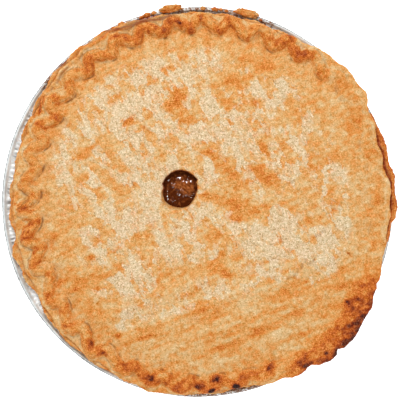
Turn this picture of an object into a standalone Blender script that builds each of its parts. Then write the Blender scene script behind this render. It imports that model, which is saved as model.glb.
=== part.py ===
"""A whole apple pie, baked in a round pleated foil tin.

The pie is built the way the real one is put together. A pastry base lines the tin and lies out over
its flange, the apple filling lies on it, and a pastry lid covers both. The lid's edge is pinched into a
slanting wave all the way round, and one vent hole, left of the middle, shows the filling. Two flakes of
baked overflow lie on the tin's bead.

Lengths are in metres and azimuths in degrees, anticlockwise from +X seen from above. +Z is up, and the
origin is the middle of the tin's flat underside.
"""

import bisect
import math
from collections import namedtuple

import bmesh
import bpy
from mathutils import Matrix, Vector

MM = 0.001
GAP = 0.35 * MM

# The foil tin
TIN_RADIUS = 122.0 * MM
TIN_FLANGE_Z = 29.3 * MM
TIN_FOOT_RADIUS = 95.0 * MM
TIN_FOOT_CHAMFER = 1.6 * MM
TIN_MOUTH_RADIUS = 110.0 * MM
TIN_BEAD = 1.4 * MM
TIN_FOIL = 0.6 * MM
PLEATS = 48
PLEAT_DEPTH = 0.9 * MM
BEAD_SIDES = 5

# The pastry
BASE_THICKNESS = 3.4 * MM
BASE_FLANGE = 3.0 * MM
LID_THICKNESS = 4.2 * MM
LID_EDGE = 3.2 * MM
DOME_RISE = 7.2 * MM
DOME_RADIUS = 109.0 * MM
DOME_POWER = 3.2

# The pinched edge: its wave swings the ridge in and out, and leans over to one side
CRIMP_SWING = 3.5 * MM
CRIMP_HEIGHT = 4.6 * MM
CRIMP_CREASE = 5.0 * MM
CRIMP_FALL = 0.27
EDGE_SCALLOP = 0.6 * MM
CRIMPS = 38
POINTS_PER_CRIMP = 6

# The bead lifts the pastry that lies across it
BEAD_LIFT = 1.7 * MM
BEAD_LIFT_FROM = 116.0 * MM
BEAD_LIFT_TO = 119.0 * MM

# The vent hole
VENT = Vector((-11.3 * MM, 7.8 * MM))
VENT_RADIUS = 11.0 * MM
VENT_LONGER = 0.8 * MM
VENT_BEVEL = 1.3 * MM
FILLING_SINK = 2.2 * MM
RINGS_CENTRED_BY = 62.0 * MM

# Radii of the rings that the lid and the filling share, in millimetres, from the outside in
LID_RINGS = (97.0, 88.0, 77.0, 65.0, 53.0, 41.0, 29.0, 18.0)

RimPlan = namedtuple("RimPlan", "azimuth ridge lid_edge base_edge strength")

# How the rim runs round the pie: the ridge's mean radius, how far the lid and the base reach, all in
# millimetres, and how strongly the edge is pinched there, from 0 to 1.
RIM = (
    RimPlan(2, 113.1, 120.9, 124.4, 0.34),
    RimPlan(7.5, 112.8, 120.2, 123.8, 0.35),
    RimPlan(11, 112.6, 118.6, 122.8, 0.35),
    RimPlan(17, 112.5, 118.8, 122.8, 0.35),
    RimPlan(21, 113.0, 119.6, 123.0, 0.37),
    RimPlan(25, 113.6, 121.3, 122.0, 0.39),
    RimPlan(28.5, 114.2, 122.0, 120.8, 0.40),
    RimPlan(33, 115.2, 125.2, 121.2, 0.45),
    RimPlan(39, 116.0, 125.3, 121.5, 0.50),
    RimPlan(47, 115.0, 124.0, 120.8, 0.68),
    RimPlan(52, 114.3, 122.0, 120.0, 0.78),
    RimPlan(58, 113.2, 119.9, 119.2, 0.92),
    RimPlan(64, 112.5, 118.0, 118.8, 1.00),
    RimPlan(76, 112.5, 118.0, 118.8, 1.00),
    RimPlan(88, 112.5, 119.6, 119.8, 1.00),
    RimPlan(99, 112.0, 118.4, 118.8, 1.00),
    RimPlan(108, 111.5, 119.0, 120.0, 1.00),
    RimPlan(116, 111.0, 120.3, 122.0, 1.00),
    RimPlan(123, 110.5, 120.2, 121.8, 1.00),
    RimPlan(130, 109.9, 119.6, 121.8, 1.00),
    RimPlan(138, 109.2, 119.0, 121.2, 1.00),
    RimPlan(144, 108.3, 118.0, 119.6, 1.00),
    RimPlan(151, 107.4, 116.9, 118.6, 1.00),
    RimPlan(159, 106.9, 116.4, 117.9, 1.00),
    RimPlan(167, 106.4, 115.8, 116.9, 1.00),
    RimPlan(178, 106.0, 116.0, 117.8, 1.00),
    RimPlan(183, 106.1, 116.2, 118.6, 1.00),
    RimPlan(190, 106.3, 115.8, 117.0, 0.98),
    RimPlan(196.5, 106.4, 116.2, 120.6, 0.96),
    RimPlan(202, 106.5, 116.0, 118.8, 0.96),
    RimPlan(210, 107.4, 115.9, 117.0, 0.95),
    RimPlan(222, 110.0, 118.2, 119.7, 0.90),
    RimPlan(240, 112.0, 118.8, 120.3, 0.90),
    RimPlan(249, 113.0, 120.8, 121.0, 0.85),
    RimPlan(258, 114.1, 122.8, 121.6, 0.80),
    RimPlan(264, 114.5, 121.0, 120.8, 0.80),
    RimPlan(270, 114.9, 119.8, 120.6, 0.80),
    RimPlan(278, 115.0, 119.4, 120.2, 0.75),
    RimPlan(283, 114.7, 118.8, 119.3, 0.67),
    RimPlan(290, 114.8, 121.7, 120.2, 0.55),
    RimPlan(295.5, 115.5, 123.2, 120.8, 0.43),
    RimPlan(299, 116.0, 125.1, 121.2, 0.38),
    RimPlan(304.5, 116.9, 125.2, 121.6, 0.30),
    RimPlan(307, 117.2, 127.8, 121.8, 0.27),
    RimPlan(311, 117.9, 129.4, 122.0, 0.22),
    RimPlan(316, 118.0, 129.7, 122.0, 0.20),
    RimPlan(322, 118.0, 129.0, 122.0, 0.20),
    RimPlan(328, 117.4, 127.0, 121.8, 0.20),
    RimPlan(334, 117.0, 124.8, 121.5, 0.20),
    RimPlan(339, 116.0, 122.6, 121.3, 0.25),
    RimPlan(346, 114.5, 120.5, 121.0, 0.30),
    RimPlan(352, 113.6, 120.2, 121.8, 0.32),
    RimPlan(356, 113.3, 120.4, 124.4, 0.33),
)

# Azimuth and number of crimps counted up to it: the pinches are a little wider apart at the lower left
CRIMP_COUNTS = ((60.9, 0), (202.2, 15), (246.0, 19), (420.9, CRIMPS))

Notch = namedtuple("Notch", "azimuth depth half_angle")

# Cracks in the over-baked edge
NOTCHES = (Notch(313.5, 1.6, 1.2), Notch(335.5, 1.4, 1.2))

Swell = namedtuple("Swell", "x y spread height")

# Where apple slices push the lid up, and where it has sunk between them, in millimetres
SWELLS = (
    Swell(-52, 46, 22, 1.2),
    Swell(28, 62, 20, 1.0),
    Swell(60, 14, 24, 1.1),
    Swell(-66, -14, 20, 1.0),
    Swell(-20, -44, 24, 1.2),
    Swell(46, -48, 22, 1.0),
    Swell(26, 4, 16, -1.0),
    Swell(-34, 8, 14, -0.7),
    Swell(12, -78, 16, 0.8),
)

# Long shallow folds that cross the lower part of the lid
FOLD_ANGLE = math.radians(22)
FOLD_PITCH = 17.0 * MM
FOLD_HEIGHT = 0.45 * MM
FOLD_MIDDLE = -52.0 * MM
FOLD_BAND = 28.0 * MM

Flake = namedtuple("Flake", "name azimuth radius half_length half_width half_height")

# Overflow that baked hard on the tin's bead
FLAKES = (
    Flake("overflow_flake_left", 98.3, 122.6, 7.0, 3.0, 1.5),
    Flake("overflow_flake_right", 75.4, 122.5, 7.6, 2.9, 1.6),
)

PASTRY = ((0.72, 0.36, 0.13, 1.0), 0.75, 0.0)
PASTRY_BASE = ((0.70, 0.30, 0.09, 1.0), 0.75, 0.0)
FILLING = ((0.16, 0.035, 0.008, 1.0), 0.2, 0.0)
OVERFLOW = ((0.75, 0.25, 0.04, 1.0), 0.6, 0.0)
FOIL = ((0.86, 0.86, 0.87, 1.0), 0.25, 1.0)


def smooth(value):
    """An even step from 0 to 1."""
    value = min(max(value, 0.0), 1.0)
    return value * value * (3 - 2 * value)


def clear_scene():
    """Removes whatever the scene holds."""
    for obj in list(bpy.data.objects):
        bpy.data.objects.remove(obj)


def material(name, looks):
    """A plain material of one colour, roughness and metallic value."""
    colour, roughness, metallic = looks
    made = bpy.data.materials.new(name)
    made.use_nodes = True
    shader = made.node_tree.nodes["Principled BSDF"]
    shader.inputs["Base Color"].default_value = colour
    shader.inputs["Roughness"].default_value = roughness
    shader.inputs["Metallic"].default_value = metallic
    made.diffuse_color = colour
    return made


def crimp_phase(azimuth):
    """How many crimps lie between the first one and this azimuth."""
    first = CRIMP_COUNTS[0][0]
    azimuth = first + (azimuth - first) % 360
    for (low, before), (high, after) in zip(CRIMP_COUNTS, CRIMP_COUNTS[1:]):
        if azimuth <= high:
            return before + (after - before) * (azimuth - low) / (high - low)
    return float(CRIMPS)


def crimp_azimuth(phase):
    """The azimuth at which that many crimps have been counted."""
    for (low, before), (high, after) in zip(CRIMP_COUNTS, CRIMP_COUNTS[1:]):
        if phase <= after:
            return low + (high - low) * (phase - before) / (after - before)
    return CRIMP_COUNTS[-1][0]


def crimp_wave(phase):
    """The ridge's swing, from -1 at the inside to 1 at the outside: a short fall and a long slant."""
    turn = phase % 1.0
    if turn < CRIMP_FALL:
        share = 1 - turn / CRIMP_FALL
    else:
        share = (turn - CRIMP_FALL) / (1 - CRIMP_FALL)
    return share + smooth(share) - 1


def rim_plan(azimuth):
    """The rim's plan at an azimuth, between the two rows of RIM that it lies between."""
    azimuth %= 360
    after = bisect.bisect_right([row.azimuth for row in RIM], azimuth) % len(RIM)
    low, high = RIM[after - 1], RIM[after]
    span = (high.azimuth - low.azimuth) % 360
    share = smooth(((azimuth - low.azimuth) % 360) / span)
    return RimPlan(azimuth, *(a + (b - a) * share for a, b in zip(low[1:], high[1:])))


def notch_depth(azimuth):
    """How far a crack cuts into the lid's edge at an azimuth."""
    depth = 0.0
    for notch in NOTCHES:
        off = abs((azimuth - notch.azimuth + 180) % 360 - 180)
        depth = max(depth, notch.depth * MM * (1 - off / notch.half_angle))
    return depth


def bead_lift(radius):
    """How far the tin's bead lifts pastry that lies across it at this radius."""
    return BEAD_LIFT * smooth((radius - BEAD_LIFT_FROM) / (BEAD_LIFT_TO - BEAD_LIFT_FROM))


def base_flange_top(radius):
    """Height of the base's upper face, where the lid lies on it."""
    return TIN_FLANGE_Z + GAP + BASE_FLANGE + bead_lift(radius)


def rim_bottom(radius):
    """Height of the lid's lower face on the rim."""
    return base_flange_top(radius) + GAP


def fold_height(x, y):
    """Height of the long folds in the lower part of the lid."""
    across = y * math.cos(FOLD_ANGLE) - x * math.sin(FOLD_ANGLE)
    fade = math.exp(-(((across - FOLD_MIDDLE) / FOLD_BAND) ** 2))
    return FOLD_HEIGHT * fade * math.sin(2 * math.pi * across / FOLD_PITCH)


def lid_top(x, y):
    """Height of the lid's upper face inside the crimped rim."""
    radius = math.hypot(x, y)
    share = max(0.0, 1 - (radius / DOME_RADIUS) ** DOME_POWER)
    height = rim_bottom(0.0) + LID_EDGE + DOME_RISE * share + fold_height(x, y)
    for swell in SWELLS:
        away = math.hypot(x / MM - swell.x, y / MM - swell.y) / swell.spread
        height += swell.height * MM * math.exp(-away * away) * min(1.0, share * 3)
    return height


def lid_bottom(x, y):
    """Height of the lid's lower face inside the rim."""
    return lid_top(x, y) - LID_THICKNESS


def point_at(radius, azimuth, height, centre=(0.0, 0.0)):
    """A point at this radius and azimuth about a centre."""
    angle = math.radians(azimuth)
    return Vector((centre[0] + radius * math.cos(angle), centre[1] + radius * math.sin(angle), height))


def ring_azimuths(count):
    """Azimuths of a ring's points, evenly spread over the crimps."""
    return [crimp_azimuth(CRIMPS * i / count) for i in range(count)]


def lid_ring(radius, count, height_at, drop=0.0):
    """A ring of the lid or of what lies under it. Near the vent it gathers about the vent's centre."""
    share = smooth((radius - VENT_RADIUS) / (RINGS_CENTRED_BY - VENT_RADIUS))
    centre = VENT * (1 - share)
    ring = []
    for azimuth in ring_azimuths(count):
        longer = VENT_LONGER * (1 - share) * math.sin(math.radians(azimuth)) ** 2
        point = point_at(radius + longer, azimuth, 0.0, centre)
        point.z = height_at(point.x, point.y) - drop
        ring.append(point)
    return ring


def add_ring(bm, points):
    """Adds a ring's points and returns its vertices."""
    return [bm.verts.new(point) for point in points]


def bridge(bm, first, second):
    """Joins two rings of equal count, or where one has twice as many points as the other."""
    if len(first) > len(second):
        first, second = second, first
    count = len(first)
    for i in range(count):
        a, b = first[i], first[(i + 1) % count]
        if len(second) == count:
            bm.faces.new((a, b, second[(i + 1) % count], second[i]))
            continue
        c, d, e = second[2 * i], second[2 * i + 1], second[(2 * i + 2) % len(second)]
        bm.faces.new((a, d, c))
        bm.faces.new((a, b, d))
        bm.faces.new((b, e, d))


def loft(bm, rings, closed):
    """Joins rings one after another. A closed loft also joins the last to the first."""
    made = [add_ring(bm, ring) for ring in rings]
    for first, second in zip(made, made[1:]):
        bridge(bm, first, second)
    if closed:
        bridge(bm, made[-1], made[0])
    return made


def cap(bm, ring, height):
    """Closes a ring with triangles about a point in its middle."""
    middle = sum((vert.co for vert in ring), Vector()) / len(ring)
    tip = bm.verts.new((middle.x, middle.y, height))
    for a, b in zip(ring, ring[1:] + ring[:1]):
        bm.faces.new((a, b, tip))


def finish_object(name, bm, finish):
    """Turns a closed bmesh into a smooth-shaded object."""
    bmesh.ops.recalc_face_normals(bm, faces=bm.faces)
    bmesh.ops.triangulate(bm, faces=[face for face in bm.faces if len(face.verts) > 3])
    mesh = bpy.data.meshes.new(name)
    bm.to_mesh(mesh)
    bm.free()
    mesh.shade_smooth()
    mesh.set_sharp_from_angle(angle=math.radians(50))
    mesh.materials.append(finish)
    obj = bpy.data.objects.new(name, mesh)
    bpy.context.scene.collection.objects.link(obj)
    return obj


def tin_wall(height):
    """Mean radius of the tin wall's outer face at a height."""
    share = (height - TIN_FOOT_CHAMFER) / (TIN_FLANGE_Z - TIN_FOOT_CHAMFER)
    return TIN_FOOT_RADIUS + (TIN_MOUTH_RADIUS - TIN_FOOT_RADIUS) * share


def tin_profile():
    """The tin's section, from the underside round to the inside.

    Each point holds a radius, a height and a share of the pleats' depth.
    """
    foil = TIN_FOIL * 1.15
    bead_radius = TIN_RADIUS - TIN_BEAD
    bead_height = TIN_FLANGE_Z - TIN_FOIL / 2
    flange_edge = bead_radius - TIN_BEAD * 0.9
    outside = [
        (TIN_FOOT_RADIUS - TIN_FOOT_CHAMFER, 0.0, 0.0),
        (TIN_FOOT_RADIUS, TIN_FOOT_CHAMFER, 1.0),
        (TIN_MOUTH_RADIUS, TIN_FLANGE_Z - TIN_FOIL, 1.0),
        (flange_edge, TIN_FLANGE_Z - TIN_FOIL, 0.0),
    ]
    bead = []
    for i in range(BEAD_SIDES):
        angle = math.radians(-125 + 250 * i / (BEAD_SIDES - 1))
        reach = bead_radius + TIN_BEAD * math.cos(angle)
        bead.append((reach, bead_height + TIN_BEAD * math.sin(angle), 0.0))
    inside = [
        (flange_edge, TIN_FLANGE_Z, 0.0),
        (TIN_MOUTH_RADIUS - foil, TIN_FLANGE_Z, 1.0),
        (TIN_FOOT_RADIUS - foil, TIN_FOOT_CHAMFER + TIN_FOIL / 2, 1.0),
        (TIN_FOOT_RADIUS - TIN_FOOT_CHAMFER - TIN_FOIL / 2, TIN_FOIL, 0.0),
    ]
    return outside + bead + inside


def make_tin(finish):
    """The foil tin: flat base, pleated wall, narrow flange and rolled bead."""
    count = 2 * PLEATS
    rings = []
    for radius, height, pleat in tin_profile():
        swing = pleat * PLEAT_DEPTH / 2
        pleated = [point_at(radius + swing * (-1) ** i, 360 * i / count, height) for i in range(count)]
        rings.append(pleated)
    bm = bmesh.new()
    made = loft(bm, rings, closed=False)
    cap(bm, made[0], 0.0)
    cap(bm, made[-1], TIN_FOIL)
    return finish_object("foil_tin", bm, finish)


def base_wall(height):
    """Radius of the base's outer face at a height, just inside the tin's pleats."""
    return tin_wall(height) - TIN_FOIL * 1.15 - PLEAT_DEPTH / 2 - GAP


def base_edge(azimuth):
    """Radius that the base reaches on the flange, with the slight scallops that the pinching leaves."""
    scallop = EDGE_SCALLOP * math.sin(2 * math.pi * crimp_phase(azimuth))
    return rim_plan(azimuth).base_edge * MM + scallop


def base_flange_ring(count, inset, rise, limit=math.inf):
    """A ring of the base's flange, set in from its edge and no farther out than the limit."""
    ring = []
    for azimuth in ring_azimuths(count):
        radius = min(base_edge(azimuth) - inset, limit)
        bottom = TIN_FLANGE_Z + GAP + bead_lift(radius)
        ring.append(point_at(radius, azimuth, bottom + BASE_FLANGE * rise))
    return ring


def round_ring(radius, count, height):
    """A plain level ring."""
    return [point_at(radius, azimuth, height) for azimuth in ring_azimuths(count)]


def make_base(finish):
    """The pastry base: it lines the tin and lies out over its flange."""
    fine = CRIMPS * POINTS_PER_CRIMP // 2
    coarse = fine // 2
    floor = TIN_FOIL + GAP
    foot_z = TIN_FOOT_CHAMFER + 2 * TIN_FOIL
    mouth_z = TIN_FLANGE_Z - BASE_THICKNESS / 2
    inner_top = base_wall(mouth_z) - BASE_THICKNESS
    floor_radius = base_wall(foot_z) - TIN_FOOT_CHAMFER - TIN_FOIL
    rings = [
        round_ring(floor_radius, coarse, floor),
        round_ring(base_wall(foot_z), coarse, foot_z),
        round_ring(base_wall(TIN_FLANGE_Z), coarse, TIN_FLANGE_Z + GAP),
        base_flange_ring(fine, 1.8 * MM, 0.0, BEAD_LIFT_FROM),
        base_flange_ring(fine, 1.3 * MM, 0.0, BEAD_LIFT_TO),
        base_flange_ring(fine, 0.7 * MM, 0.0),
        base_flange_ring(fine, 0.0, 0.5),
        base_flange_ring(fine, 0.7 * MM, 1.0),
        base_flange_ring(fine, 1.3 * MM, 1.0, BEAD_LIFT_TO),
        base_flange_ring(fine, 1.8 * MM, 1.0, BEAD_LIFT_FROM),
        round_ring(inner_top + 1.4 * MM, coarse, base_flange_top(0.0)),
        round_ring(inner_top, coarse, mouth_z),
        round_ring(base_wall(foot_z) - BASE_THICKNESS, coarse, floor + BASE_THICKNESS + TIN_FOOT_CHAMFER),
        round_ring(floor_radius - BASE_THICKNESS, coarse, floor + BASE_THICKNESS),
    ]
    bm = bmesh.new()
    made = loft(bm, rings, closed=False)
    cap(bm, made[0], floor)
    cap(bm, made[-1], floor + BASE_THICKNESS)
    return finish_object("base_crust", bm, finish)


def ridge_radius(azimuth):
    """Radius of the pinched ridge's crest at an azimuth."""
    plan = rim_plan(azimuth)
    return plan.ridge * MM + CRIMP_SWING * plan.strength * crimp_wave(crimp_phase(azimuth))


def lid_edge(azimuth):
    """Radius of the lid's cut edge, scalloped by the pinching and cracked where it baked too hard."""
    scallop = EDGE_SCALLOP * crimp_wave(crimp_phase(azimuth))
    return rim_plan(azimuth).lid_edge * MM + scallop - notch_depth(azimuth)


def lid_edge_ring(count, inset, rise, limit=math.inf):
    """A ring of the lid's cut edge, set in from it, within the limit, at a share of its thickness."""
    ring = []
    for azimuth in ring_azimuths(count):
        radius = min(lid_edge(azimuth) - inset, limit)
        ring.append(point_at(radius, azimuth, rim_bottom(radius) + LID_EDGE * rise))
    return ring


def ridge_ring(count, outward, inward, share):
    """A ring along the pinched ridge, outward as a share of the way to the edge, or inward by a distance."""
    ring = []
    for azimuth in ring_azimuths(count):
        crest = ridge_radius(azimuth)
        radius = crest + (lid_edge(azimuth) - crest) * outward - inward
        foot = rim_bottom(min(radius, BEAD_LIFT_TO)) + LID_EDGE
        ring.append(point_at(radius, azimuth, foot + CRIMP_HEIGHT * rim_plan(azimuth).strength * share))
    return ring


def make_lid(finish):
    """The pastry lid: a low dome with its vent hole, and the pinched rim."""
    fine = CRIMPS * POINTS_PER_CRIMP
    middling, coarse = fine // 2, fine // 4
    rings = [
        lid_edge_ring(fine, 0.7 * MM, 0.0),
        lid_edge_ring(fine, 0.0, 0.45),
        lid_edge_ring(fine, 0.6 * MM, 0.95),
        ridge_ring(fine, 0.4, 0.0, 0.45),
        ridge_ring(fine, 0.0, 0.4 * MM, 1.0),
        ridge_ring(fine, 0.0, 2.6 * MM, 0.62),
        ridge_ring(fine, 0.0, CRIMP_CREASE, 0.0),
        lid_ring(LID_RINGS[0] * MM, middling, lid_top),
    ]
    rings += [lid_ring(radius * MM, coarse, lid_top) for radius in LID_RINGS[1:]]
    rings += [
        lid_ring(VENT_RADIUS + VENT_BEVEL, coarse, lid_top, 0.1 * MM),
        lid_ring(VENT_RADIUS, coarse, lid_top, VENT_BEVEL),
        lid_ring(VENT_RADIUS + 0.6 * MM, coarse, lid_bottom),
    ]
    rings += [lid_ring(radius * MM, coarse, lid_bottom) for radius in reversed(LID_RINGS[1:])]
    rings += [
        lid_ring(LID_RINGS[0] * MM, middling, lid_bottom),
        round_ring(105.0 * MM, middling, rim_bottom(0.0)),
        lid_edge_ring(fine, 1.7 * MM, 0.0, BEAD_LIFT_FROM),
        lid_edge_ring(fine, 1.2 * MM, 0.0, BEAD_LIFT_TO),
    ]
    bm = bmesh.new()
    loft(bm, rings, closed=True)
    return finish_object("top_crust", bm, finish)


def filling_top(x, y):
    """Height of the filling, against the lid's lower face but sunk and lumpy under the vent."""
    away = math.hypot(x - VENT.x, y - VENT.y)
    sink = FILLING_SINK * (1 - smooth((away - VENT_RADIUS) / VENT_RADIUS))
    slice_away = math.hypot((x - VENT.x - 3.5 * MM) / (6.5 * MM), (y - VENT.y - 1.0 * MM) / (5.0 * MM))
    apple = 1.8 * MM * (1 - smooth(slice_away))
    return lid_bottom(x, y) - GAP - sink + apple


def make_filling(finish):
    """The apple filling, which fills all between the base and the lid."""
    middling = CRIMPS * POINTS_PER_CRIMP // 2
    coarse = middling // 2
    foot_z = TIN_FOOT_CHAMFER + 2 * TIN_FOIL
    mouth_z = TIN_FLANGE_Z - BASE_THICKNESS / 2
    floor = TIN_FOIL + 2 * GAP + BASE_THICKNESS
    side = BASE_THICKNESS + GAP
    foot_radius = base_wall(foot_z) - TIN_FOOT_CHAMFER - TIN_FOIL - side
    rings = [lid_ring(radius * MM, coarse, filling_top) for radius in (4.0, 8.0, 11.0)]
    rings += [lid_ring(radius * MM, coarse, filling_top) for radius in reversed(LID_RINGS[1:])]
    rings += [
        lid_ring(LID_RINGS[0] * MM, middling, filling_top),
        round_ring(base_wall(mouth_z) - side, coarse, mouth_z + 2 * MM),
        round_ring(base_wall(foot_z) - side - GAP, coarse, floor + TIN_FOOT_CHAMFER),
        round_ring(foot_radius, coarse, floor),
    ]
    bm = bmesh.new()
    made = loft(bm, rings, closed=False)
    cap(bm, made[0], filling_top(VENT.x, VENT.y))
    cap(bm, made[-1], floor)
    return finish_object("apple_filling", bm, finish)


def make_flake(flake, finish):
    """One flake of overflow: a flat, lumpy crumb that lies along the tin's bead."""
    bm = bmesh.new()
    bmesh.ops.create_icosphere(bm, subdivisions=3, radius=1.0)
    for vert in bm.verts:
        x, y, z = vert.co
        lump = 1 + 0.16 * math.sin(5.1 * x + flake.azimuth) + 0.12 * math.cos(4.3 * y + 2.6 * x)
        vert.co = Vector((
            x * flake.half_length * lump,
            y * flake.half_width * lump,
            max(z * lump, -0.8) * flake.half_height,
        )) * MM
    rest = TIN_FLANGE_Z - TIN_FOIL / 2 + TIN_BEAD + GAP
    low = min(vert.co.z for vert in bm.verts)
    place = point_at(flake.radius * MM, flake.azimuth, rest - low)
    turn = Matrix.Rotation(math.radians(flake.azimuth + 90), 4, "Z")
    obj = finish_object(flake.name, bm, finish)
    obj.matrix_world = Matrix.Translation(place) @ turn
    return obj


def main():
    """Builds the pie from the tin up."""
    clear_scene()
    make_tin(material("foil", FOIL))
    make_base(material("base_pastry", PASTRY_BASE))
    make_filling(material("apple_filling", FILLING))
    make_lid(material("lid_pastry", PASTRY))
    overflow = material("overflow", OVERFLOW)
    for flake in FLAKES:
        make_flake(flake, overflow)


main()
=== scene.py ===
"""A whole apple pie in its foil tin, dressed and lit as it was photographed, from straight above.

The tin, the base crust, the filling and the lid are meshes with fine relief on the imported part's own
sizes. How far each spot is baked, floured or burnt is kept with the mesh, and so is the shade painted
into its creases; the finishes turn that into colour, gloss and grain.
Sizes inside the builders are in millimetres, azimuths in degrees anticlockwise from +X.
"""

import logging
import math
from collections.abc import Sequence
from dataclasses import dataclass, field
from enum import Enum
from typing import Any

import bpy
import numpy as np
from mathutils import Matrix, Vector


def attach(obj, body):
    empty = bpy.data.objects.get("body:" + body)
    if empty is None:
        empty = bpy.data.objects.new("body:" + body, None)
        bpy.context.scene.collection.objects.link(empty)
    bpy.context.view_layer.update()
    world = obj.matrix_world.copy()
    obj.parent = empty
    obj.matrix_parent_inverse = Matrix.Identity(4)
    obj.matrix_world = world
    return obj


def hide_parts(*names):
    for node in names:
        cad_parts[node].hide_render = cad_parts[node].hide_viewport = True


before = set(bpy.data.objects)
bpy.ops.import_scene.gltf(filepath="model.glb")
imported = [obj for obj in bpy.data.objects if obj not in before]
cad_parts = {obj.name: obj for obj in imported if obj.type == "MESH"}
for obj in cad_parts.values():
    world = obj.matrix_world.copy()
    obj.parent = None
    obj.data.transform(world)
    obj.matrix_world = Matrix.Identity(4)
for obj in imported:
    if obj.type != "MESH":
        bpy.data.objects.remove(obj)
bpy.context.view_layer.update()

LOG = logging.getLogger("apple_pie")
MM = 0.001
GAP = 0.35
Values = np.ndarray
Colour = tuple[float, float, float, float]


class Slot(Enum):
    """The material slots."""

    FOIL = "foil"
    BASE = "base_pastry"
    FILLING = "apple_filling"
    LID = "lid_pastry"
    OVERFLOW = "overflow"


class Mask(Enum):
    """What a pastry mesh keeps about each of its points."""

    BAKE = "bake"
    FLOUR = "flour"
    # How dark the shade painted into creases, cracks, fold lines and openings is, on pastry and foil.
    CREASE = "crease"
    SYRUP = "syrup"


def smooth(value: Any) -> Any:
    """Returns an even step from 0 to 1."""
    value = np.clip(value, 0.0, 1.0)
    return value * value * (3 - 2 * value)


def blend(low: Any, high: Any, share: Any) -> Any:
    """Returns the value at a share of the way from low to high."""
    return low + (high - low) * share


def hump(away: Any) -> Any:
    """Returns a round hump, 1 at its middle and nearly nothing two widths off."""
    return np.exp(-(away * away))


def clipped(value: Any) -> Any:
    """Returns a value held between 0 and 1."""
    return np.clip(value, 0.0, 1.0)


def between(value: Any, start: float, end: float, rise: float, fall: float) -> Any:
    """Returns 1 between two limits, with a smooth rise after the first and fall before the second."""
    return smooth((value - start) / rise) * smooth((end - value) / fall)


def facing(azimuth: Any, middle: float, half: float, soft: float) -> Any:
    """Returns 1 about one azimuth, falling smoothly to 0 at half the sector's width from it."""
    return smooth((half - apart(azimuth, middle)) / soft)


def apart(azimuth: Any, middle: float) -> Any:
    """Returns how many degrees lie between azimuths and one azimuth."""
    return np.abs((azimuth - middle + 180) % 360 - 180)


def to_polar(x: Values, y: Values) -> tuple[Values, Values]:
    """Returns points' radius and azimuth."""
    return np.hypot(x, y), np.degrees(np.arctan2(y, x)) % 360


def turned(x: Any, y: Any, degrees: float) -> tuple[Any, Any]:
    """Returns points' places along a direction and across it."""
    angle = math.radians(degrees)
    return x * math.cos(angle) + y * math.sin(angle), y * math.cos(angle) - x * math.sin(angle)


# The shared measures of the pie.


@dataclass(frozen=True)
class Grain:
    """Seeded, repeatable unevenness over points in millimetres."""

    seed: int
    steps: int = 4096

    def tables(self) -> tuple[Values, Values]:
        """Returns the shuffled order and the random directions that all its patterns use."""
        draw = np.random.default_rng(self.seed)
        lean = draw.normal(size=(self.steps, 3))
        return draw.permutation(self.steps), lean / np.linalg.norm(lean, axis=1)[:, None]

    def lumps(self, x: Values, y: Values, z: Any = 0.0, size: float = 10.0) -> Values:
        """Smooth lumps of about one size.

        Args:
            x, y, z: the points.
            size: the distance between lumps.

        Returns:
            Values from about -1 to 1.
        """
        order, lean = self.tables()
        place = np.stack(np.broadcast_arrays(x / size, y / size, np.asarray(z) / size), axis=-1)
        low = np.floor(place).astype(int)
        part = place - low
        fade = part * part * part * (part * (part * 6 - 15) + 10)
        total = np.zeros(place.shape[:-1])
        for corner in range(8):
            step = np.array([corner & 1, corner >> 1 & 1, corner >> 2 & 1])
            cell = low + step
            spot = order[cell[..., 0] % self.steps]
            spot = order[(spot + cell[..., 1]) % self.steps]
            spot = order[(spot + cell[..., 2]) % self.steps]
            weight = np.prod(np.where(step, fade, 1 - fade), axis=-1)
            total += weight * np.sum(lean[spot] * (part - step), axis=-1)
        return total * 1.6

    def rough(self, x: Values, y: Values, z: Any = 0.0, size: float = 10.0, layers: int = 3) -> Values:
        """Lumps with finer lumps on them.

        Args:
            x, y, z: the points.
            size: the distance between the largest lumps.
            layers: how many finer sizes are added.

        Returns:
            Values from about -1 to 1.
        """
        total = np.zeros(np.broadcast(x, y, z).shape)
        for layer in range(layers):
            total += self.lumps(x + 31.7 * layer, y - 17.3 * layer, z, size / 2**layer) * 0.55**layer
        return total

    def drops(self, x: Values, y: Values, size: float, share: float, curve: float = 0.0) -> Values:
        """Scattered round blisters.

        Args:
            x, y: the points.
            size: the distance between neighbouring blisters.
            share: the share of places that holds one.
            curve: the radius that they all curve to, or 0 for blisters of one height.

        Returns:
            Values from 0 to 1, highest in a blister's middle, or heights if a curve is given.
        """
        order, _ = self.tables()
        column, row = np.floor(x / size).astype(int), np.floor(y / size).astype(int)
        best = np.zeros(np.shape(x))
        for shift in range(9):
            i, j = column + shift % 3 - 1, row + shift // 3 - 1
            spot = order[(order[i % self.steps] + j) % self.steps]
            other = order[(spot + 77) % self.steps]
            third = order[(spot + 191) % self.steps]
            middle_x = (i + spot / self.steps) * size
            middle_y = (j + other / self.steps) * size
            width = size * blend(0.18, 0.42, third / self.steps)
            here = np.clip(1 - ((x - middle_x) ** 2 + (y - middle_y) ** 2) / width**2, 0, 1)
            here = here * width**2 / (2 * curve) if curve else here
            best = np.maximum(best, np.where((other * 7 + third) % self.steps < share * self.steps, here, 0))
        return best


@dataclass(frozen=True)
class RimStop:
    """The rim at one azimuth: ridge, lid edge and base edge radius, and how strongly it is pinched."""

    azimuth: float
    ridge: float
    lid_edge: float
    base_edge: float
    strength: float


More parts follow.
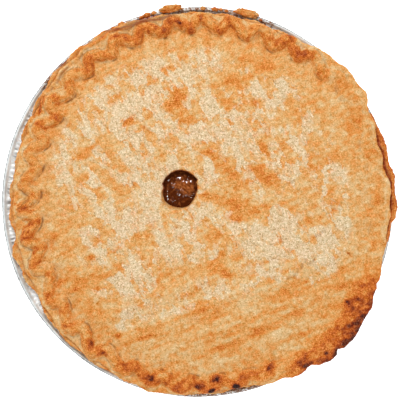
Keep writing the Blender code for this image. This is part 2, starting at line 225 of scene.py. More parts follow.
RIM = tuple(RimStop(*row) for row in (
    (2, 113.1, 120.9, 124.4, 0.34), (7.5, 112.8, 120.2, 123.8, 0.35), (11, 112.6, 118.6, 122.8, 0.35),
    (17, 112.5, 118.8, 122.8, 0.35), (21, 113, 119.6, 123, 0.37), (25, 113.6, 121.3, 122, 0.39),
    (28.5, 114.2, 122, 120.8, 0.40), (33, 115.2, 125.2, 121.2, 0.45), (39, 116, 125.3, 121.5, 0.50),
    (47, 115, 124, 120.8, 0.68), (52, 114.3, 122, 120, 0.78), (58, 113.2, 119.9, 119.2, 0.92),
    (64, 112.5, 118, 118.8, 1), (76, 112.5, 118, 118.8, 1), (88, 112.3, 118.5, 118.8, 1),
    (99, 112, 118.4, 118.8, 1), (108, 111.5, 119, 120, 1), (116, 111, 120.3, 122, 1),
    (123, 110.5, 120.2, 121.8, 1), (130, 109.9, 119.6, 121.8, 1), (138, 109.2, 119, 121.2, 1),
    (144, 108.3, 118, 119.6, 1), (151, 107.4, 116.9, 118.6, 1), (159, 106.9, 116.4, 117.9, 1),
    (167, 106.4, 115.8, 116.9, 1), (178, 106, 116, 117.8, 1), (183, 106.1, 116.2, 118.6, 1),
    (190, 106.3, 115.8, 117, 0.98), (196.5, 106.4, 116.2, 120.6, 0.96), (202, 106.5, 116, 118.8, 0.96),
    (210, 107.4, 115.9, 117, 0.95), (222, 110, 118.2, 119.7, 0.90), (240, 112, 118.8, 120.3, 0.90),
    (249, 113, 120.8, 121, 0.85), (258, 114.1, 122.8, 121.6, 0.80), (264, 114.5, 121, 120.8, 0.80),
    (270, 114.9, 119.8, 120.6, 0.80), (278, 115, 119.4, 120.2, 0.75), (283, 114.7, 118.8, 119.3, 0.67),
    (290, 114.8, 121.7, 120.2, 0.55), (295.5, 115.5, 123.2, 120.8, 0.43), (299, 116, 125.1, 121.2, 0.38),
    (304.5, 116.9, 125.2, 121.6, 0.30), (307, 117.2, 127.8, 121.8, 0.27), (311, 117.9, 129.4, 122, 0.22),
    (316, 118, 129.7, 122, 0.20), (322, 118, 129, 122, 0.20), (328, 117.4, 127, 121.8, 0.20),
    (334, 117, 124.8, 121.5, 0.20), (339, 116, 122.6, 121.3, 0.25), (346, 114.5, 120.5, 121, 0.30),
    (352, 113.6, 120.2, 121.8, 0.32), (356, 113.3, 120.4, 124.4, 0.33),
))


@dataclass(frozen=True)
class PieShape:
    """The sizes that the pastry, the filling and the tin share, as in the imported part."""

    rim: tuple[RimStop, ...] = RIM
    crimp_counts: tuple[tuple[float, float], ...] = ((60.9, 0), (202.2, 15), (246.0, 19), (420.9, 38))
    crimp_swing: float = 3.5
    crimp_height: float = 4.6
    crimp_crease: float = 5.0
    crimp_fall: float = 0.27
    edge_scallop: float = 0.6
    notches: tuple[tuple[float, float, float], ...] = ((313.5, 1.6, 1.2), (335.5, 1.4, 1.2))
    flange_z: float = 29.3
    base_flange: float = 3.0
    lid_edge_thick: float = 3.2
    lid_thick: float = 4.2
    bead_lift: float = 1.7
    bead_lift_from: float = 116.0
    bead_lift_to: float = 119.0
    dome_rise: float = 7.2
    dome_radius: float = 109.0
    dome_power: float = 3.2
    vent: tuple[float, float] = (-11.3, 7.8)
    vent_radius: float = 11.0
    rings_centred_by: float = 62.0
    filling_sink: float = 2.2
    swells: tuple[tuple[float, float, float, float], ...] = (
        (-52, 46, 22, 1.2), (28, 62, 20, 1), (60, 14, 24, 1.1), (-66, -14, 20, 1), (-20, -44, 24, 1.2),
        (46, -48, 22, 1), (26, 4, 16, -1), (-34, 8, 14, -0.7), (12, -78, 16, 0.8),
    )
    fold_angle: float = 22.0
    fold_pitch: float = 17.0
    fold_height: float = 0.45
    fold_middle: float = -52.0
    fold_band: float = 28.0

    def plan(self, azimuth: Values) -> tuple[Values, Values, Values, Values]:
        """The rim's plan at azimuths.

        Args:
            azimuth: degrees.

        Returns:
            Ridge radius, lid edge radius, base edge radius and strength of the pinching.
        """
        azimuth = np.asarray(azimuth) % 360
        stops = np.array([stop.azimuth for stop in self.rim])
        after = np.searchsorted(stops, azimuth, side="right") % len(stops)
        before = after - 1
        span = (stops[after] - stops[before]) % 360
        share = smooth(((azimuth - stops[before]) % 360) / span)
        rows = np.array([(s.ridge, s.lid_edge, s.base_edge, s.strength) for s in self.rim])
        mixed = blend(rows[before], rows[after], share[..., None])
        return mixed[..., 0], mixed[..., 1], mixed[..., 2], mixed[..., 3]

    def phase(self, azimuth: Values) -> Values:
        """Returns how many crimps lie between the first one and each azimuth."""
        first = self.crimp_counts[0][0]
        turned = first + (np.asarray(azimuth) - first) % 360
        return np.interp(turned, [a for a, _ in self.crimp_counts], [n for _, n in self.crimp_counts])

    def wave(self, phase: Values) -> Values:
        """Returns the pinched ridge's swing: a short fall inwards and a long slant outwards."""
        turn = phase % 1.0
        fall = self.crimp_fall + 0.06
        share = np.where(turn < fall, turn / fall, 1 + (turn - fall) / (1 - fall))
        return np.cos(np.pi * share)

    def uneven(self, phase: Values, seed: int) -> Values:
        """Returns a smooth drift from pinch to pinch, so that no two are alike."""
        draw = np.random.default_rng(seed).uniform(-1, 1, 38)
        low = np.floor(phase).astype(int)
        return blend(draw[low % 38], draw[(low + 1) % 38], smooth(phase - low))

    def ridge(self, azimuth: Values) -> Values:
        """Returns the radius of the pinched ridge's crest."""
        ridge, _, _, strength = self.plan(azimuth)
        phase = self.phase(azimuth)
        swing = self.crimp_swing * (1 + 0.22 * self.uneven(phase, 5))
        return ridge + strength * (swing * self.wave(phase + 0.05 * self.uneven(phase, 6)))

    def from_crest(self, x: Values, y: Values) -> Values:
        """Returns how far points lie from the pinched ridge's crest, below 0 on its inner side."""
        radius, azimuth = to_polar(x, y)
        table = self.ridge(around(3600))
        best = np.full(np.shape(x), 1e3)
        for shift in np.arange(-5.0, 5.01, 0.2):
            crest = np.interp((azimuth + shift) % 360, around(3600), table, period=360)
            angle = np.radians(azimuth + shift)
            best = np.minimum(best, np.hypot(x - crest * np.cos(angle), y - crest * np.sin(angle)))
        return np.where(radius < self.ridge(azimuth), -best, best)

    def lid_edge(self, azimuth: Values) -> Values:
        """Returns the radius of the lid's edge, with its cracks."""
        _, edge, _, _ = self.plan(azimuth)
        edge = edge + self.edge_scallop * self.wave(self.phase(azimuth))
        cut = np.zeros(np.shape(azimuth))
        for place, depth, half in self.notches:
            cut = np.maximum(cut, depth * (1 - apart(azimuth, place) / half))
        return edge - cut

    def base_edge(self, azimuth: Values) -> Values:
        """Returns the radius that the base crust reaches on the tin's flange."""
        _, _, edge, _ = self.plan(azimuth)
        return edge + self.edge_scallop * np.sin(2 * np.pi * self.phase(azimuth))

    def lift(self, radius: Values) -> Values:
        """Returns how far the tin's bead lifts pastry that lies across it."""
        share = (radius - self.bead_lift_from) / (self.bead_lift_to - self.bead_lift_from)
        return self.bead_lift * smooth(share)

    def rim_bottom(self, radius: Values) -> Values:
        """Returns the height of the lid's lower face on the rim."""
        return self.flange_z + 2 * GAP + self.base_flange + self.lift(radius)

    def dome(self, x: Values, y: Values) -> Values:
        """Returns the height of the lid's upper face without its fine relief."""
        radius = np.hypot(x, y)
        share = clipped(1 - (radius / self.dome_radius) ** self.dome_power)
        _, across = turned(x, y, self.fold_angle)
        fade = hump((across - self.fold_middle) / self.fold_band)
        height = self.rim_bottom(0.0) + self.lid_edge_thick + self.dome_rise * share
        height = height + self.fold_height * fade * np.sin(2 * np.pi * across / self.fold_pitch)
        for sx, sy, spread, rise in self.swells:
            height = height + rise * hump(np.hypot(x - sx, y - sy) / spread) * np.minimum(1.0, share * 3)
        return height

    def towards_vent(self, radius: Values) -> Values:
        """Returns how far, from 0 to 1, a ring of this radius has gathered about the vent."""
        return 1 - smooth((radius - self.vent_radius) / (self.rings_centred_by - self.vent_radius))


# The meshes.


@dataclass
class MeshDraft:
    """A mesh in the making: rings of points that are joined one after another."""

    name: str
    points: list[Values] = field(default_factory=list)
    faces: list[Values] = field(default_factory=list)
    total: int = 0

    def add_points(self, points: Values) -> Values:
        """Adds points, in millimetres, and returns their numbers."""
        self.points.append(np.asarray(points, dtype=float))
        numbers = np.arange(self.total, self.total + len(points))
        self.total += len(points)
        return numbers

    def join(self, first: Values, second: Values) -> None:
        """Joins two rings.

        Args:
            first, second: the rings' point numbers; one may have twice as many as the other.
        """
        flip = len(first) > len(second)
        few, many = (second, first) if flip else (first, second)
        after = np.roll(few, -1)
        if len(few) == len(many):
            quads = np.stack([few, after, np.roll(many, -1), many], axis=1)
            self.faces.append(quads)
            return
        low, middle, high = many[0::2], many[1::2], np.roll(many[0::2], -1)
        tris = np.concatenate([
            np.stack([few, middle, low], axis=1),
            np.stack([few, after, middle], axis=1),
            np.stack([after, high, middle], axis=1),
        ])
        self.faces.append(tris[:, ::-1] if flip else tris)

    def loft(self, rings: Sequence[Values], closed: bool = False) -> list[Values]:
        """Joins rings one after another.

        Args:
            rings: arrays of points, in millimetres.
            closed: whether the last is joined to the first.

        Returns:
            Each ring's point numbers.
        """
        made = [self.add_points(ring) for ring in rings]
        for first, second in zip(made, made[1:]):
            self.join(first, second)
        if closed:
            self.join(made[-1], made[0])
        return made

    def cap(self, ring: Values, point: Sequence[float], flip: bool = False) -> None:
        """Closes a ring with triangles about a point."""
        tip = self.add_points(np.array([point]))[0]
        tris = np.stack([ring, np.roll(ring, -1), np.full(len(ring), tip)], axis=1)
        self.faces.append(tris[:, ::-1] if flip else tris)

    def all_points(self) -> Values:
        """Returns every point so far as one array."""
        return np.concatenate(self.points)

    def build(self, finish: Any, masks: dict[Mask, Values], turn_over: bool = False) -> bpy.types.Object:
        """Makes the Blender object.

        Args:
            finish: the material.
            masks: a value from 0 to 1 for each point, by mask.
            turn_over: whether the faces are turned to the other side.

        Returns:
            The object, with smooth shading, riding on the part's only body.
        """
        mesh = bpy.data.meshes.new(self.name)
        way = -1 if turn_over else 1
        faces = [row for block in self.faces for row in block[:, ::way].tolist()]
        mesh.from_pydata((self.all_points() * MM).tolist(), [], faces)
        for mask, values in masks.items():
            layer = mesh.attributes.new(mask.value, "FLOAT", "POINT")
            layer.data.foreach_set("value", np.asarray(values, dtype=np.float32))
        mesh.shade_smooth()
        mesh.materials.append(finish)
        mesh.update()
        made = bpy.data.objects.new(self.name, mesh)
        bpy.context.scene.collection.objects.link(made)
        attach(made, "root")
        return made


def polar(radius: Any, azimuth: Values, height: Any, centre: Sequence[Any] = (0.0, 0.0)) -> Values:
    """Points about a centre.

    Args:
        radius, azimuth, height: where they are; the azimuth is in degrees.
        centre: the middle's x and y.

    Returns:
        An array of points.
    """
    angle = np.radians(azimuth)
    x = centre[0] + radius * np.cos(angle)
    y = centre[1] + radius * np.sin(angle)
    return np.stack(np.broadcast_arrays(x, y, height), axis=-1).astype(float)


def around(count: int) -> Values:
    """Returns evenly spread azimuths."""
    return np.arange(count) * 360.0 / count


# The shader building blocks.


@dataclass
class Board:
    """A node tree with short ways to place and join nodes.

    A lifted colour moves in even steps for the eye, by a share for each of red, green and blue.
    """

    tree: bpy.types.NodeTree
    eye: float = 2.2
    lift_by_colour: tuple[float, float, float] = (0.43, 0.50, 0.58)

    def add(self, kind: str, inputs: dict[Any, Any] | None = None, **settings: Any) -> bpy.types.Node:
        """Places a node.

        Args:
            kind: the node's type.
            inputs: by input name or number, a constant or the socket to join to it.
            settings: the node's own properties.

        Returns:
            The node.
        """
        node = self.tree.nodes.new(kind)
        for key, value in settings.items():
            setattr(node, key, value)
        self.feed(node, inputs or {})
        return node

    def feed(self, node: bpy.types.Node, inputs: dict[Any, Any]) -> None:
        """Gives a node's inputs their constants, or joins sockets to them."""
        for key, value in inputs.items():
            if isinstance(value, bpy.types.NodeSocket):
                self.tree.links.new(value, node.inputs[key])
            else:
                node.inputs[key].default_value = value

    def math(self, operation: str, *values: Any, clamp: bool = False) -> bpy.types.NodeSocket:
        """Returns the result of a sum on up to three values or sockets."""
        inputs = dict(enumerate(values))
        return self.add("ShaderNodeMath", inputs, operation=operation, use_clamp=clamp).outputs[0]

    def times(self, value: Any, share: Any, added: Any) -> bpy.types.NodeSocket:
        """Returns a value times a share, added to another."""
        return self.math("MULTIPLY_ADD", value, share, added)

    def vector(self, operation: str, *values: Any) -> bpy.types.NodeSocket:
        """Returns the result of a vector sum."""
        return self.add("ShaderNodeVectorMath", dict(enumerate(values)), operation=operation).outputs[0]

    def scaled(self, place: Any, scale: Any) -> bpy.types.NodeSocket:
        """Returns a vector times a number."""
        return self.add("ShaderNodeVectorMath", {0: place, "Scale": scale}, operation="SCALE").outputs[0]

    def mix(self, share: Any, low: Any, high: Any, way: str = "MIX") -> bpy.types.NodeSocket:
        """Returns a mix of two colours."""
        inputs = {0: share, 6: low, 7: high}
        node = self.add("ShaderNodeMix", inputs, data_type="RGBA", blend_type=way, clamp_factor=True)
        return node.outputs[2]

    def lifted(self, colour: Any, amount: Any) -> bpy.types.NodeSocket:
        """Returns a colour made lighter or darker by an even amount, as the eye sees it."""
        seen = self.add("ShaderNodeGamma", {0: colour, 1: 1 / self.eye}).outputs[0]
        even = self.vector("MULTIPLY_ADD", amount, self.lift_by_colour, (0.5, 0.5, 0.5))
        moved = self.mix(1.0, seen, even, "LINEAR_LIGHT")
        return self.add("ShaderNodeGamma", {0: moved, 1: self.eye}).outputs[0]

    def step(self, value: Any, low: Any, high: Any, first: Any = 0.0, last: Any = 1.0) -> Any:
        """Returns a smooth step of a value between two limits."""
        inputs = {0: value, 1: low, 2: high, 3: first, 4: last}
        return self.add("ShaderNodeMapRange", inputs, interpolation_type="SMOOTHSTEP").outputs[0]

    def noise(self, place: Any, scale: Any, detail: float = 3.0, rough: float = 0.55, bend: float = 0) -> Any:
        """Returns noise from 0 to 1 over a place."""
        inputs = {"Vector": place, "Scale": scale, "Detail": detail, "Roughness": rough, "Distortion": bend}
        return self.add("ShaderNodeTexNoise", inputs).outputs[0]

    def bumped(self, height: Any, strength: float, depth: float) -> bpy.types.NodeSocket:
        """Returns a normal tilted by a height, whose full depth is in millimetres."""
        inputs = {"Strength": strength, "Distance": depth * MM, "Height": height}
        return self.add("ShaderNodeBump", inputs).outputs[0]

    def cells(self, place: Any, scale: Any, feature: str, output: str = "Distance", **settings: Any) -> Any:
        """Returns a cell pattern over a place."""
        inputs = {"Vector": place, "Scale": scale}
        return self.add("ShaderNodeTexVoronoi", inputs, feature=feature, **settings).outputs[output]

    def ramp(self, value: Any, stops: Sequence[tuple[float, Sequence[float]]]) -> bpy.types.NodeSocket:
        """Returns a colour from a row of stops."""
        node = self.add("ShaderNodeValToRGB", {0: value})
        band = node.color_ramp
        while len(band.elements) < len(stops):
            band.elements.new(0.5)
        for element, (place, colour) in zip(band.elements, stops):
            element.position = place
            element.color = (*colour, 1.0)
        return node.outputs[0]

    def attribute(self, mask: Mask) -> bpy.types.NodeSocket:
        """Returns a mesh's mask."""
        node = self.add("ShaderNodeAttribute")
        node.attribute_name = mask.value
        return node.outputs["Fac"]

    def place(self) -> bpy.types.NodeSocket:
        """Returns the point on the object, in millimetres."""
        node = self.add("ShaderNodeTexCoord")
        return self.scaled(node.outputs["Object"], 1 / MM)


class Effect(Enum):
    """The shader node groups that several finishes share."""

    TURNED = "turned_and_stretched"
    BAKED = "baked_colour"
    GRAIN = "dough_grain"
    FLOUR = "flour_dust"
    SPECKS = "scorch_specks"
    HAIRLINES = "hairline_cracks"


@dataclass
class EffectShelf:
    """Makes each shared effect once, and places it in the finishes."""

    made: dict[Effect, bpy.types.NodeTree] = field(default_factory=dict)

    def start(self, effect: Effect, inputs: dict[str, str], outputs: dict[str, str]) -> tuple[Any, Any, Any]:
        """Starts a group.

        Args:
            effect: which one.
            inputs: socket types by input name.
            outputs: socket types by output name.

        Returns:
            The group's board, its input node and its output node.
        """
        tree = bpy.data.node_groups.new(effect.value, "ShaderNodeTree")
        for name, kind in inputs.items():
            tree.interface.new_socket(name, in_out="INPUT", socket_type=f"NodeSocket{kind}")
        for name, kind in outputs.items():
            tree.interface.new_socket(name, in_out="OUTPUT", socket_type=f"NodeSocket{kind}")
        self.made[effect] = tree
        board = Board(tree)
        return board, board.add("NodeGroupInput"), board.add("NodeGroupOutput")

    def use(self, board: Board, effect: Effect, **inputs: Any) -> bpy.types.Node:
        """Places an effect on a material's board.

        Args:
            board: where it goes.
            effect: which one.
            inputs: values or sockets by input name.

        Returns:
            The group node.
        """
        if effect not in self.made:
            getattr(self, "make_" + effect.name.lower())()
        return board.add("ShaderNodeGroup", inputs, node_tree=self.made[effect])

    def turned(self, board: Board, place: Any, degrees: float, stretch: float) -> bpy.types.NodeSocket:
        """Returns a place turned about the pie's axis and stretched."""
        node = self.use(board, Effect.TURNED, Place=place, Turn=math.radians(degrees), Stretch=stretch)
        return node.outputs[0]

    def make_turned(self) -> None:
        """A place turned about the pie's axis and stretched along the new first axis."""
        board, given, result = self.start(
            Effect.TURNED, {"Place": "Vector", "Turn": "Float", "Stretch": "Float"}, {"Place": "Vector"}
        )
        turned = board.add(
            "ShaderNodeVectorRotate",
            {"Vector": given.outputs["Place"], "Angle": given.outputs["Turn"]},
            rotation_type="Z_AXIS",
        )
        apart = board.add("ShaderNodeSeparateXYZ", {0: turned.outputs[0]})
        along = board.math("DIVIDE", apart.outputs[0], given.outputs["Stretch"])
        whole = board.add("ShaderNodeCombineXYZ", {0: along, 1: apart.outputs[1], 2: apart.outputs[2]})
        board.feed(result, {"Place": whole.outputs[0]})

    def make_baked(self) -> None:
        """Pastry's colour from raw pale to burnt black."""
        board, given, result = self.start(Effect.BAKED, {"Bake": "Float"}, {"Color": "Color"})
        colour = board.ramp(
            given.outputs["Bake"],
            (
                (0.00, (0.83, 0.61, 0.34)),
                (0.14, (0.78, 0.515, 0.245)),
                (0.28, (0.765, 0.390, 0.128)),
                (0.42, (0.755, 0.285, 0.060)),
                (0.56, (0.65, 0.178, 0.026)),
                (0.70, (0.43, 0.092, 0.014)),
                (0.84, (0.17, 0.036, 0.011)),
                (1.00, (0.030, 0.011, 0.009)),
            ),
        )
        board.feed(result, {"Color": colour})

    def make_grain(self) -> None:
        """Fine uneven grain of baked dough: a height for bump and a mottle for colour."""
        board, given, result = self.start(
            Effect.GRAIN, {"Place": "Vector", "Size": "Float"}, {"Height": "Float", "Mottle": "Float"}
        )
        scale = board.math("DIVIDE", 1.0, given.outputs["Size"])
        coarse = board.noise(given.outputs["Place"], scale, 4.0, 0.6)
        fine = board.noise(given.outputs["Place"], board.math("MULTIPLY", scale, 4.3), 3.0, 0.6)
        pits = board.cells(given.outputs["Place"], board.math("MULTIPLY", scale, 2.1), "SMOOTH_F1")
        height = board.times(fine, 0.25, board.times(pits, 0.35, coarse))
        mottle = board.times(fine, 0.45, board.math("MULTIPLY", coarse, 0.55))
        board.feed(result, {"Height": height, "Mottle": mottle})

    def make_flour(self) -> None:
        """Flour baked onto the dough in patches of all sizes, more of it the higher the cover."""
        board, given, result = self.start(
            Effect.FLOUR,
            {"Place": "Vector", "Cover": "Float", "Size": "Float"},
            {"Mask": "Float", "Height": "Float"},
        )
        place, cover = given.outputs["Place"], given.outputs["Cover"]
        scale = board.math("DIVIDE", 1.0, given.outputs["Size"])
        bent = place
        for finer, reach in ((0.40, 2.4), (1.2, 0.8)):
            bend = board.add("ShaderNodeTexNoise", {"Vector": place, "Scale": finer, "Detail": 1.0})
            shift = board.vector("SUBTRACT", bend.outputs["Color"], (0.5, 0.5, 0.5))
            bent = board.vector("ADD", bent, board.scaled(shift, reach))
        amount = 0.5
        for finer, share in ((0.42, 0.90), (1.05, 0.85)):
            size = board.math("MULTIPLY", scale, finer)
            tint = board.cells(bent, size, "F1", "Color", distance="CHEBYCHEV")
            drawn = board.add("ShaderNodeSeparateColor", {0: tint}).outputs[0]
            amount = board.times(board.math("SUBTRACT", drawn, 0.5), share, amount)
        for finer, share, detail in ((0.30, 1.3, 0.5), (1.1, 0.8, 0.0)):
            layer = board.noise(bent, board.math("MULTIPLY", scale, finer), detail, 0.6)
            amount = board.times(board.math("SUBTRACT", layer, 0.5), share, amount)
        limit = board.times(cover, -1.1, 1.05)
        thin = board.step(amount, board.math("SUBTRACT", limit, 0.30), board.math("ADD", limit, 0.06))
        thick = board.step(amount, board.math("ADD", limit, 0.04), board.math("ADD", limit, 0.28))
        mask = board.times(thick, 0.32, board.math("MULTIPLY", thin, 0.50))
        mask = board.math("MULTIPLY", mask, board.step(cover, 0.02, 0.30))
        board.feed(result, {"Mask": mask, "Height": mask})

    def make_specks(self) -> None:
        """Small scorched specks, more and larger the higher the amount."""
        board, given, result = self.start(
            Effect.SPECKS, {"Place": "Vector", "Amount": "Float", "Size": "Float"}, {"Mask": "Float"}
        )
        scale = board.math("DIVIDE", 1.0, given.outputs["Size"])
        wide = board.noise(given.outputs["Place"], scale, 3.0, 0.7)
        fine = board.noise(given.outputs["Place"], board.math("MULTIPLY", scale, 3.1), 2.0, 0.6)
        mixed = board.times(fine, 0.5, board.math("MULTIPLY", wide, 0.5))
        limit = board.times(given.outputs["Amount"], -0.26, 0.72)
        mask = board.step(mixed, limit, board.math("ADD", limit, 0.09))
        board.feed(result, {"Mask": mask})

    def make_hairlines(self) -> None:
        """Short curving hairline cracks."""
        board, given, result = self.start(
            Effect.HAIRLINES, {"Place": "Vector", "Size": "Float"}, {"Mask": "Float"}
        )
        place = given.outputs["Place"]
        scale = board.math("DIVIDE", 1.0, given.outputs["Size"])
        total = 0.0
        for finer, width in ((0.6, 0.030), (1.6, 0.055)):
            wavy = board.noise(place, board.math("MULTIPLY", scale, finer), 1.5, 0.5, 0.9)
            off = board.math("ABSOLUTE", board.math("SUBTRACT", wavy, 0.5))
            total = board.math("ADD", board.step(off, 0.0, width, 1.0, 0.0), total)
        broken = board.noise(place, board.math("MULTIPLY", scale, 0.9), 2.0)
        mask = board.math("MULTIPLY", total, board.step(broken, 0.40, 0.58), clamp=True)
        board.feed(result, {"Mask": mask})


SHELF = EffectShelf()


def new_material(name: str) -> tuple[bpy.types.Material, Board, bpy.types.Node]:
    """Starts a material.

    Args:
        name: the material's name.

    Returns:
        The material, its board and its Principled shader.
    """
    made = bpy.data.materials.new(name)
    made.use_nodes = True
    return made, Board(made.node_tree), made.node_tree.nodes["Principled BSDF"]


# The finishes.


@dataclass(frozen=True)
class PastryFinish:
    """Baked shortcrust: its colour follows the bake mask, with flour, painted shade in its creases and cracks,
    and syrup over it.
    """

    name: str
    flour_size: float = 3.4
    flour_turn: float = 60.0
    streak_turn: float = -22.0
    grain_size: float = 1.6
    mottle: float = 0.16
    crumb: float = 0.145
    veins: float = 0.12
    darkest: float = -0.28
    bump: float = 0.16
    roughness: float = 0.72
    thin_flour: Colour = (0.775, 0.59, 0.35, 1)
    thick_flour: Colour = (0.81, 0.715, 0.525, 1)
    scorched: Colour = (0.085, 0.030, 0.016, 1)
    # The colour of the shade painted into creases, cracks and fold lines.
    in_crease: Colour = (0.17, 0.048, 0.013, 1)
    in_syrup: Colour = (0.17, 0.022, 0.006, 1)

    def make(self) -> bpy.types.Material:
        """Returns the material."""
        made, board, shader = new_material(self.name)
        place = board.place()
        bake, flour = board.attribute(Mask.BAKE), board.attribute(Mask.FLOUR)
        crease, syrup = board.attribute(Mask.CREASE), board.attribute(Mask.SYRUP)
        grain = SHELF.use(board, Effect.GRAIN, Place=place, Size=self.grain_size)
        blocks = SHELF.turned(board, place, self.flour_turn, 1.5)
        streaks = SHELF.turned(board, place, self.streak_turn, 6.0)
        dust = SHELF.use(board, Effect.FLOUR, Place=blocks, Cover=flour, Size=self.flour_size)
        wide = board.noise(place, 0.10, 2.0, 0.6)
        middle = board.noise(place, 0.27, 1.0, 0.6)
        patchy = board.noise(place, 0.55, 0.5, 0.5, 0.6)
        fine = board.noise(place, 1.0, 3.0, 0.65)
        drawn = board.noise(streaks, 0.42, 0.6, 0.5)
        shade = bake
        for layer, share in ((wide, 1.8), (middle, 3.0), (patchy, 0.8), (drawn, 1.7)):
            shade = board.times(board.math("SUBTRACT", layer, 0.5), self.mottle * share, shade)
        colour = SHELF.use(board, Effect.BAKED, Bake=shade).outputs[0]
        scorch = board.step(bake, 0.42, 0.95)
        specks = SHELF.use(board, Effect.SPECKS, Place=place, Amount=scorch, Size=2.2).outputs[0]
        colour = board.mix(board.math("MULTIPLY", specks, 0.55), colour, self.scorched)
        pale = board.mix(board.noise(place, 0.4, 0.5, 0.5), self.thin_flour, self.thick_flour)
        colour = board.mix(board.math("MULTIPLY", dust.outputs["Mask"], 0.90), colour, pale)
        freckles = SHELF.use(board, Effect.SPECKS, Place=place, Amount=0.60, Size=1.9).outputs[0]
        veins = SHELF.use(board, Effect.HAIRLINES, Place=place, Size=2.4).outputs[0]
        crumb = board.noise(place, 1.15, 0.8, 0.55, 0.8)
        crust = board.noise(place, 1.6, 0.4, 0.5, 0.6)
        rough_bake = board.step(bake, 0.26, 0.46)
        pores = board.math("MULTIPLY", rough_bake, board.step(crust, 0.34, 0.50, -self.crumb * 1.1, 0.0))
        tips = board.math("MULTIPLY", rough_bake, board.step(crust, 0.54, 0.68, 0.0, self.crumb * 0.6))
        dark = board.step(crumb, 0.30, 0.46, -self.crumb, 0.0)
        light = board.step(crumb, 0.54, 0.70, 0.0, self.crumb * 0.85)
        tone = board.math("ADD", light, board.math("ADD", board.math("ADD", dark, pores), tips))
        tone = board.times(freckles, -0.08, board.times(veins, -self.veins, tone))
        tone = board.math("MULTIPLY", tone, board.times(dust.outputs["Mask"], 0.40, 0.70))
        colour = board.lifted(colour, board.math("MAXIMUM", tone, self.darkest))
        # Painted shade: creases, cracks and fold lines are darkened to stand for their shadow.
        colour = board.mix(board.math("MULTIPLY", crease, 0.8), colour, self.in_crease)
        colour = board.mix(syrup, colour, self.in_syrup)
        dull = board.times(grain.outputs["Mottle"], 0.25, self.roughness - 0.12)
        rough = board.math("SUBTRACT", dull, board.math("MULTIPLY", syrup, 0.16), clamp=True)
        height = board.times(dust.outputs["Height"], 0.6, grain.outputs["Height"])
        for layer in (drawn, fine, crumb):
            height = board.times(layer, 0.5, height)
        normal = board.bumped(height, self.bump, 0.5)
        inputs = {"Base Color": colour, "Roughness": rough, "Specular IOR Level": 0.18, "Normal": normal}
        board.feed(shader, inputs)
        return made


@dataclass(frozen=True)
class FillingFinish:
    """Cooked apple in thick dark syrup; the bake mask tells apple from syrup."""

    name: str = "apple_in_syrup"
    syrup: Colour = (0.085, 0.016, 0.003, 1)
    apple: Colour = (0.20, 0.043, 0.007, 1)
    bright: Colour = (0.46, 0.14, 0.035, 1)

    def make(self) -> bpy.types.Material:
        """Returns the material."""
        made, board, shader = new_material(self.name)
        place = board.place()
        flesh = board.attribute(Mask.BAKE)
        fibre = board.noise(SHELF.turned(board, place, 40, 2.2), 0.9, 4.0, 0.65)
        lumps = board.noise(place, 0.5, 4.0, 0.65)
        apple = board.mix(board.step(fibre, 0.36, 0.66), self.apple, self.bright)
        depth = board.times(board.math("SUBTRACT", lumps, 0.48), 3.2, board.math("MULTIPLY", flesh, 0.7))
        colour = board.mix(board.step(depth, 0.0, 1.0), self.syrup, apple)
        height = board.times(lumps, 0.6, board.math("MULTIPLY", fibre, 0.3))
        coat = {"Coat Weight": 1.0, "Coat IOR": 1.6, "Coat Roughness": 0.03, "Specular IOR Level": 0.1}
        rough, normal = board.times(fibre, 0.10, 0.07), board.bumped(height, 0.25, 0.3)
        board.feed(shader, {"Base Color": colour, "Roughness": rough, "Normal": normal, **coat})
        return made


@dataclass(frozen=True)
class SyrupFinish:
    """Thin syrup that boiled out and set."""

    name: str = "set_syrup"
    thick: Colour = (0.22, 0.030, 0.004, 1)
    thin: Colour = (0.50, 0.13, 0.035, 1)

    def make(self) -> bpy.types.Material:
        """Returns the material."""
        made, board, shader = new_material(self.name)
        place = board.place()
        lumps = board.noise(place, 0.55, 4.0, 0.65)
        colour = board.mix(board.step(lumps, 0.45, 0.7), self.thick, self.thin)
        coat = {"Coat Weight": 0.35, "Coat Roughness": 0.06, "Specular IOR Level": 0.15}
        rough, normal = board.times(lumps, 0.3, 0.05), board.bumped(lumps, 0.6, 0.3)
        board.feed(shader, {"Base Color": colour, "Roughness": rough, "Normal": normal, **coat})
        return made


@dataclass(frozen=True)
class FoilFinish:
    """Thin bright foil with a fine rolled grain, small dents and a little baked-on syrup, with painted shade and
    dark reflections in its lines and pleats.
    """

    name: str = "bright_foil"
    metal: Colour = (0.90, 0.96, 0.97, 1)
    dull: Colour = (0.74, 0.77, 0.78, 1)
    stain: Colour = (0.22, 0.09, 0.035, 1)
    # The colour of the shade and dark reflections painted on the foil.
    in_crease: Colour = (0.07, 0.058, 0.045, 1)
    metallic: float = 0.18

    def make(self) -> bpy.types.Material:
        """Returns the material."""
        made, board, shader = new_material(self.name)
        place = board.place()
        crease, syrup = board.attribute(Mask.CREASE), board.attribute(Mask.SYRUP)
        dents = board.noise(place, 0.35, 3.0, 0.6)
        turned_place = SHELF.use(board, Effect.TURNED, Place=place, Turn=0.4, Stretch=14.0).outputs[0]
        rolled = board.noise(turned_place, 2.4, 2.0)
        colour = board.mix(board.step(dents, 0.4, 0.75), self.metal, self.dull)
        # Painted shade and dark reflections, laid on by the shade mask.
        colour = board.mix(crease, colour, self.in_crease)
        specks = SHELF.use(board, Effect.SPECKS, Place=place, Amount=syrup, Size=3.0).outputs[0]
        stained = board.math("MULTIPLY", specks, syrup)
        colour = board.mix(stained, colour, self.stain)
        clean = board.math("SUBTRACT", 1.0, stained, clamp=True)
        metallic, rough = board.math("MULTIPLY", clean, self.metallic), board.times(rolled, 0.2, 0.38)
        normal = board.bumped(board.times(rolled, 0.12, dents), 0.35, 0.3)
        inputs = {"Base Color": colour, "Metallic": metallic, "Roughness": rough, "Normal": normal}
        board.feed(shader, inputs)
        return made


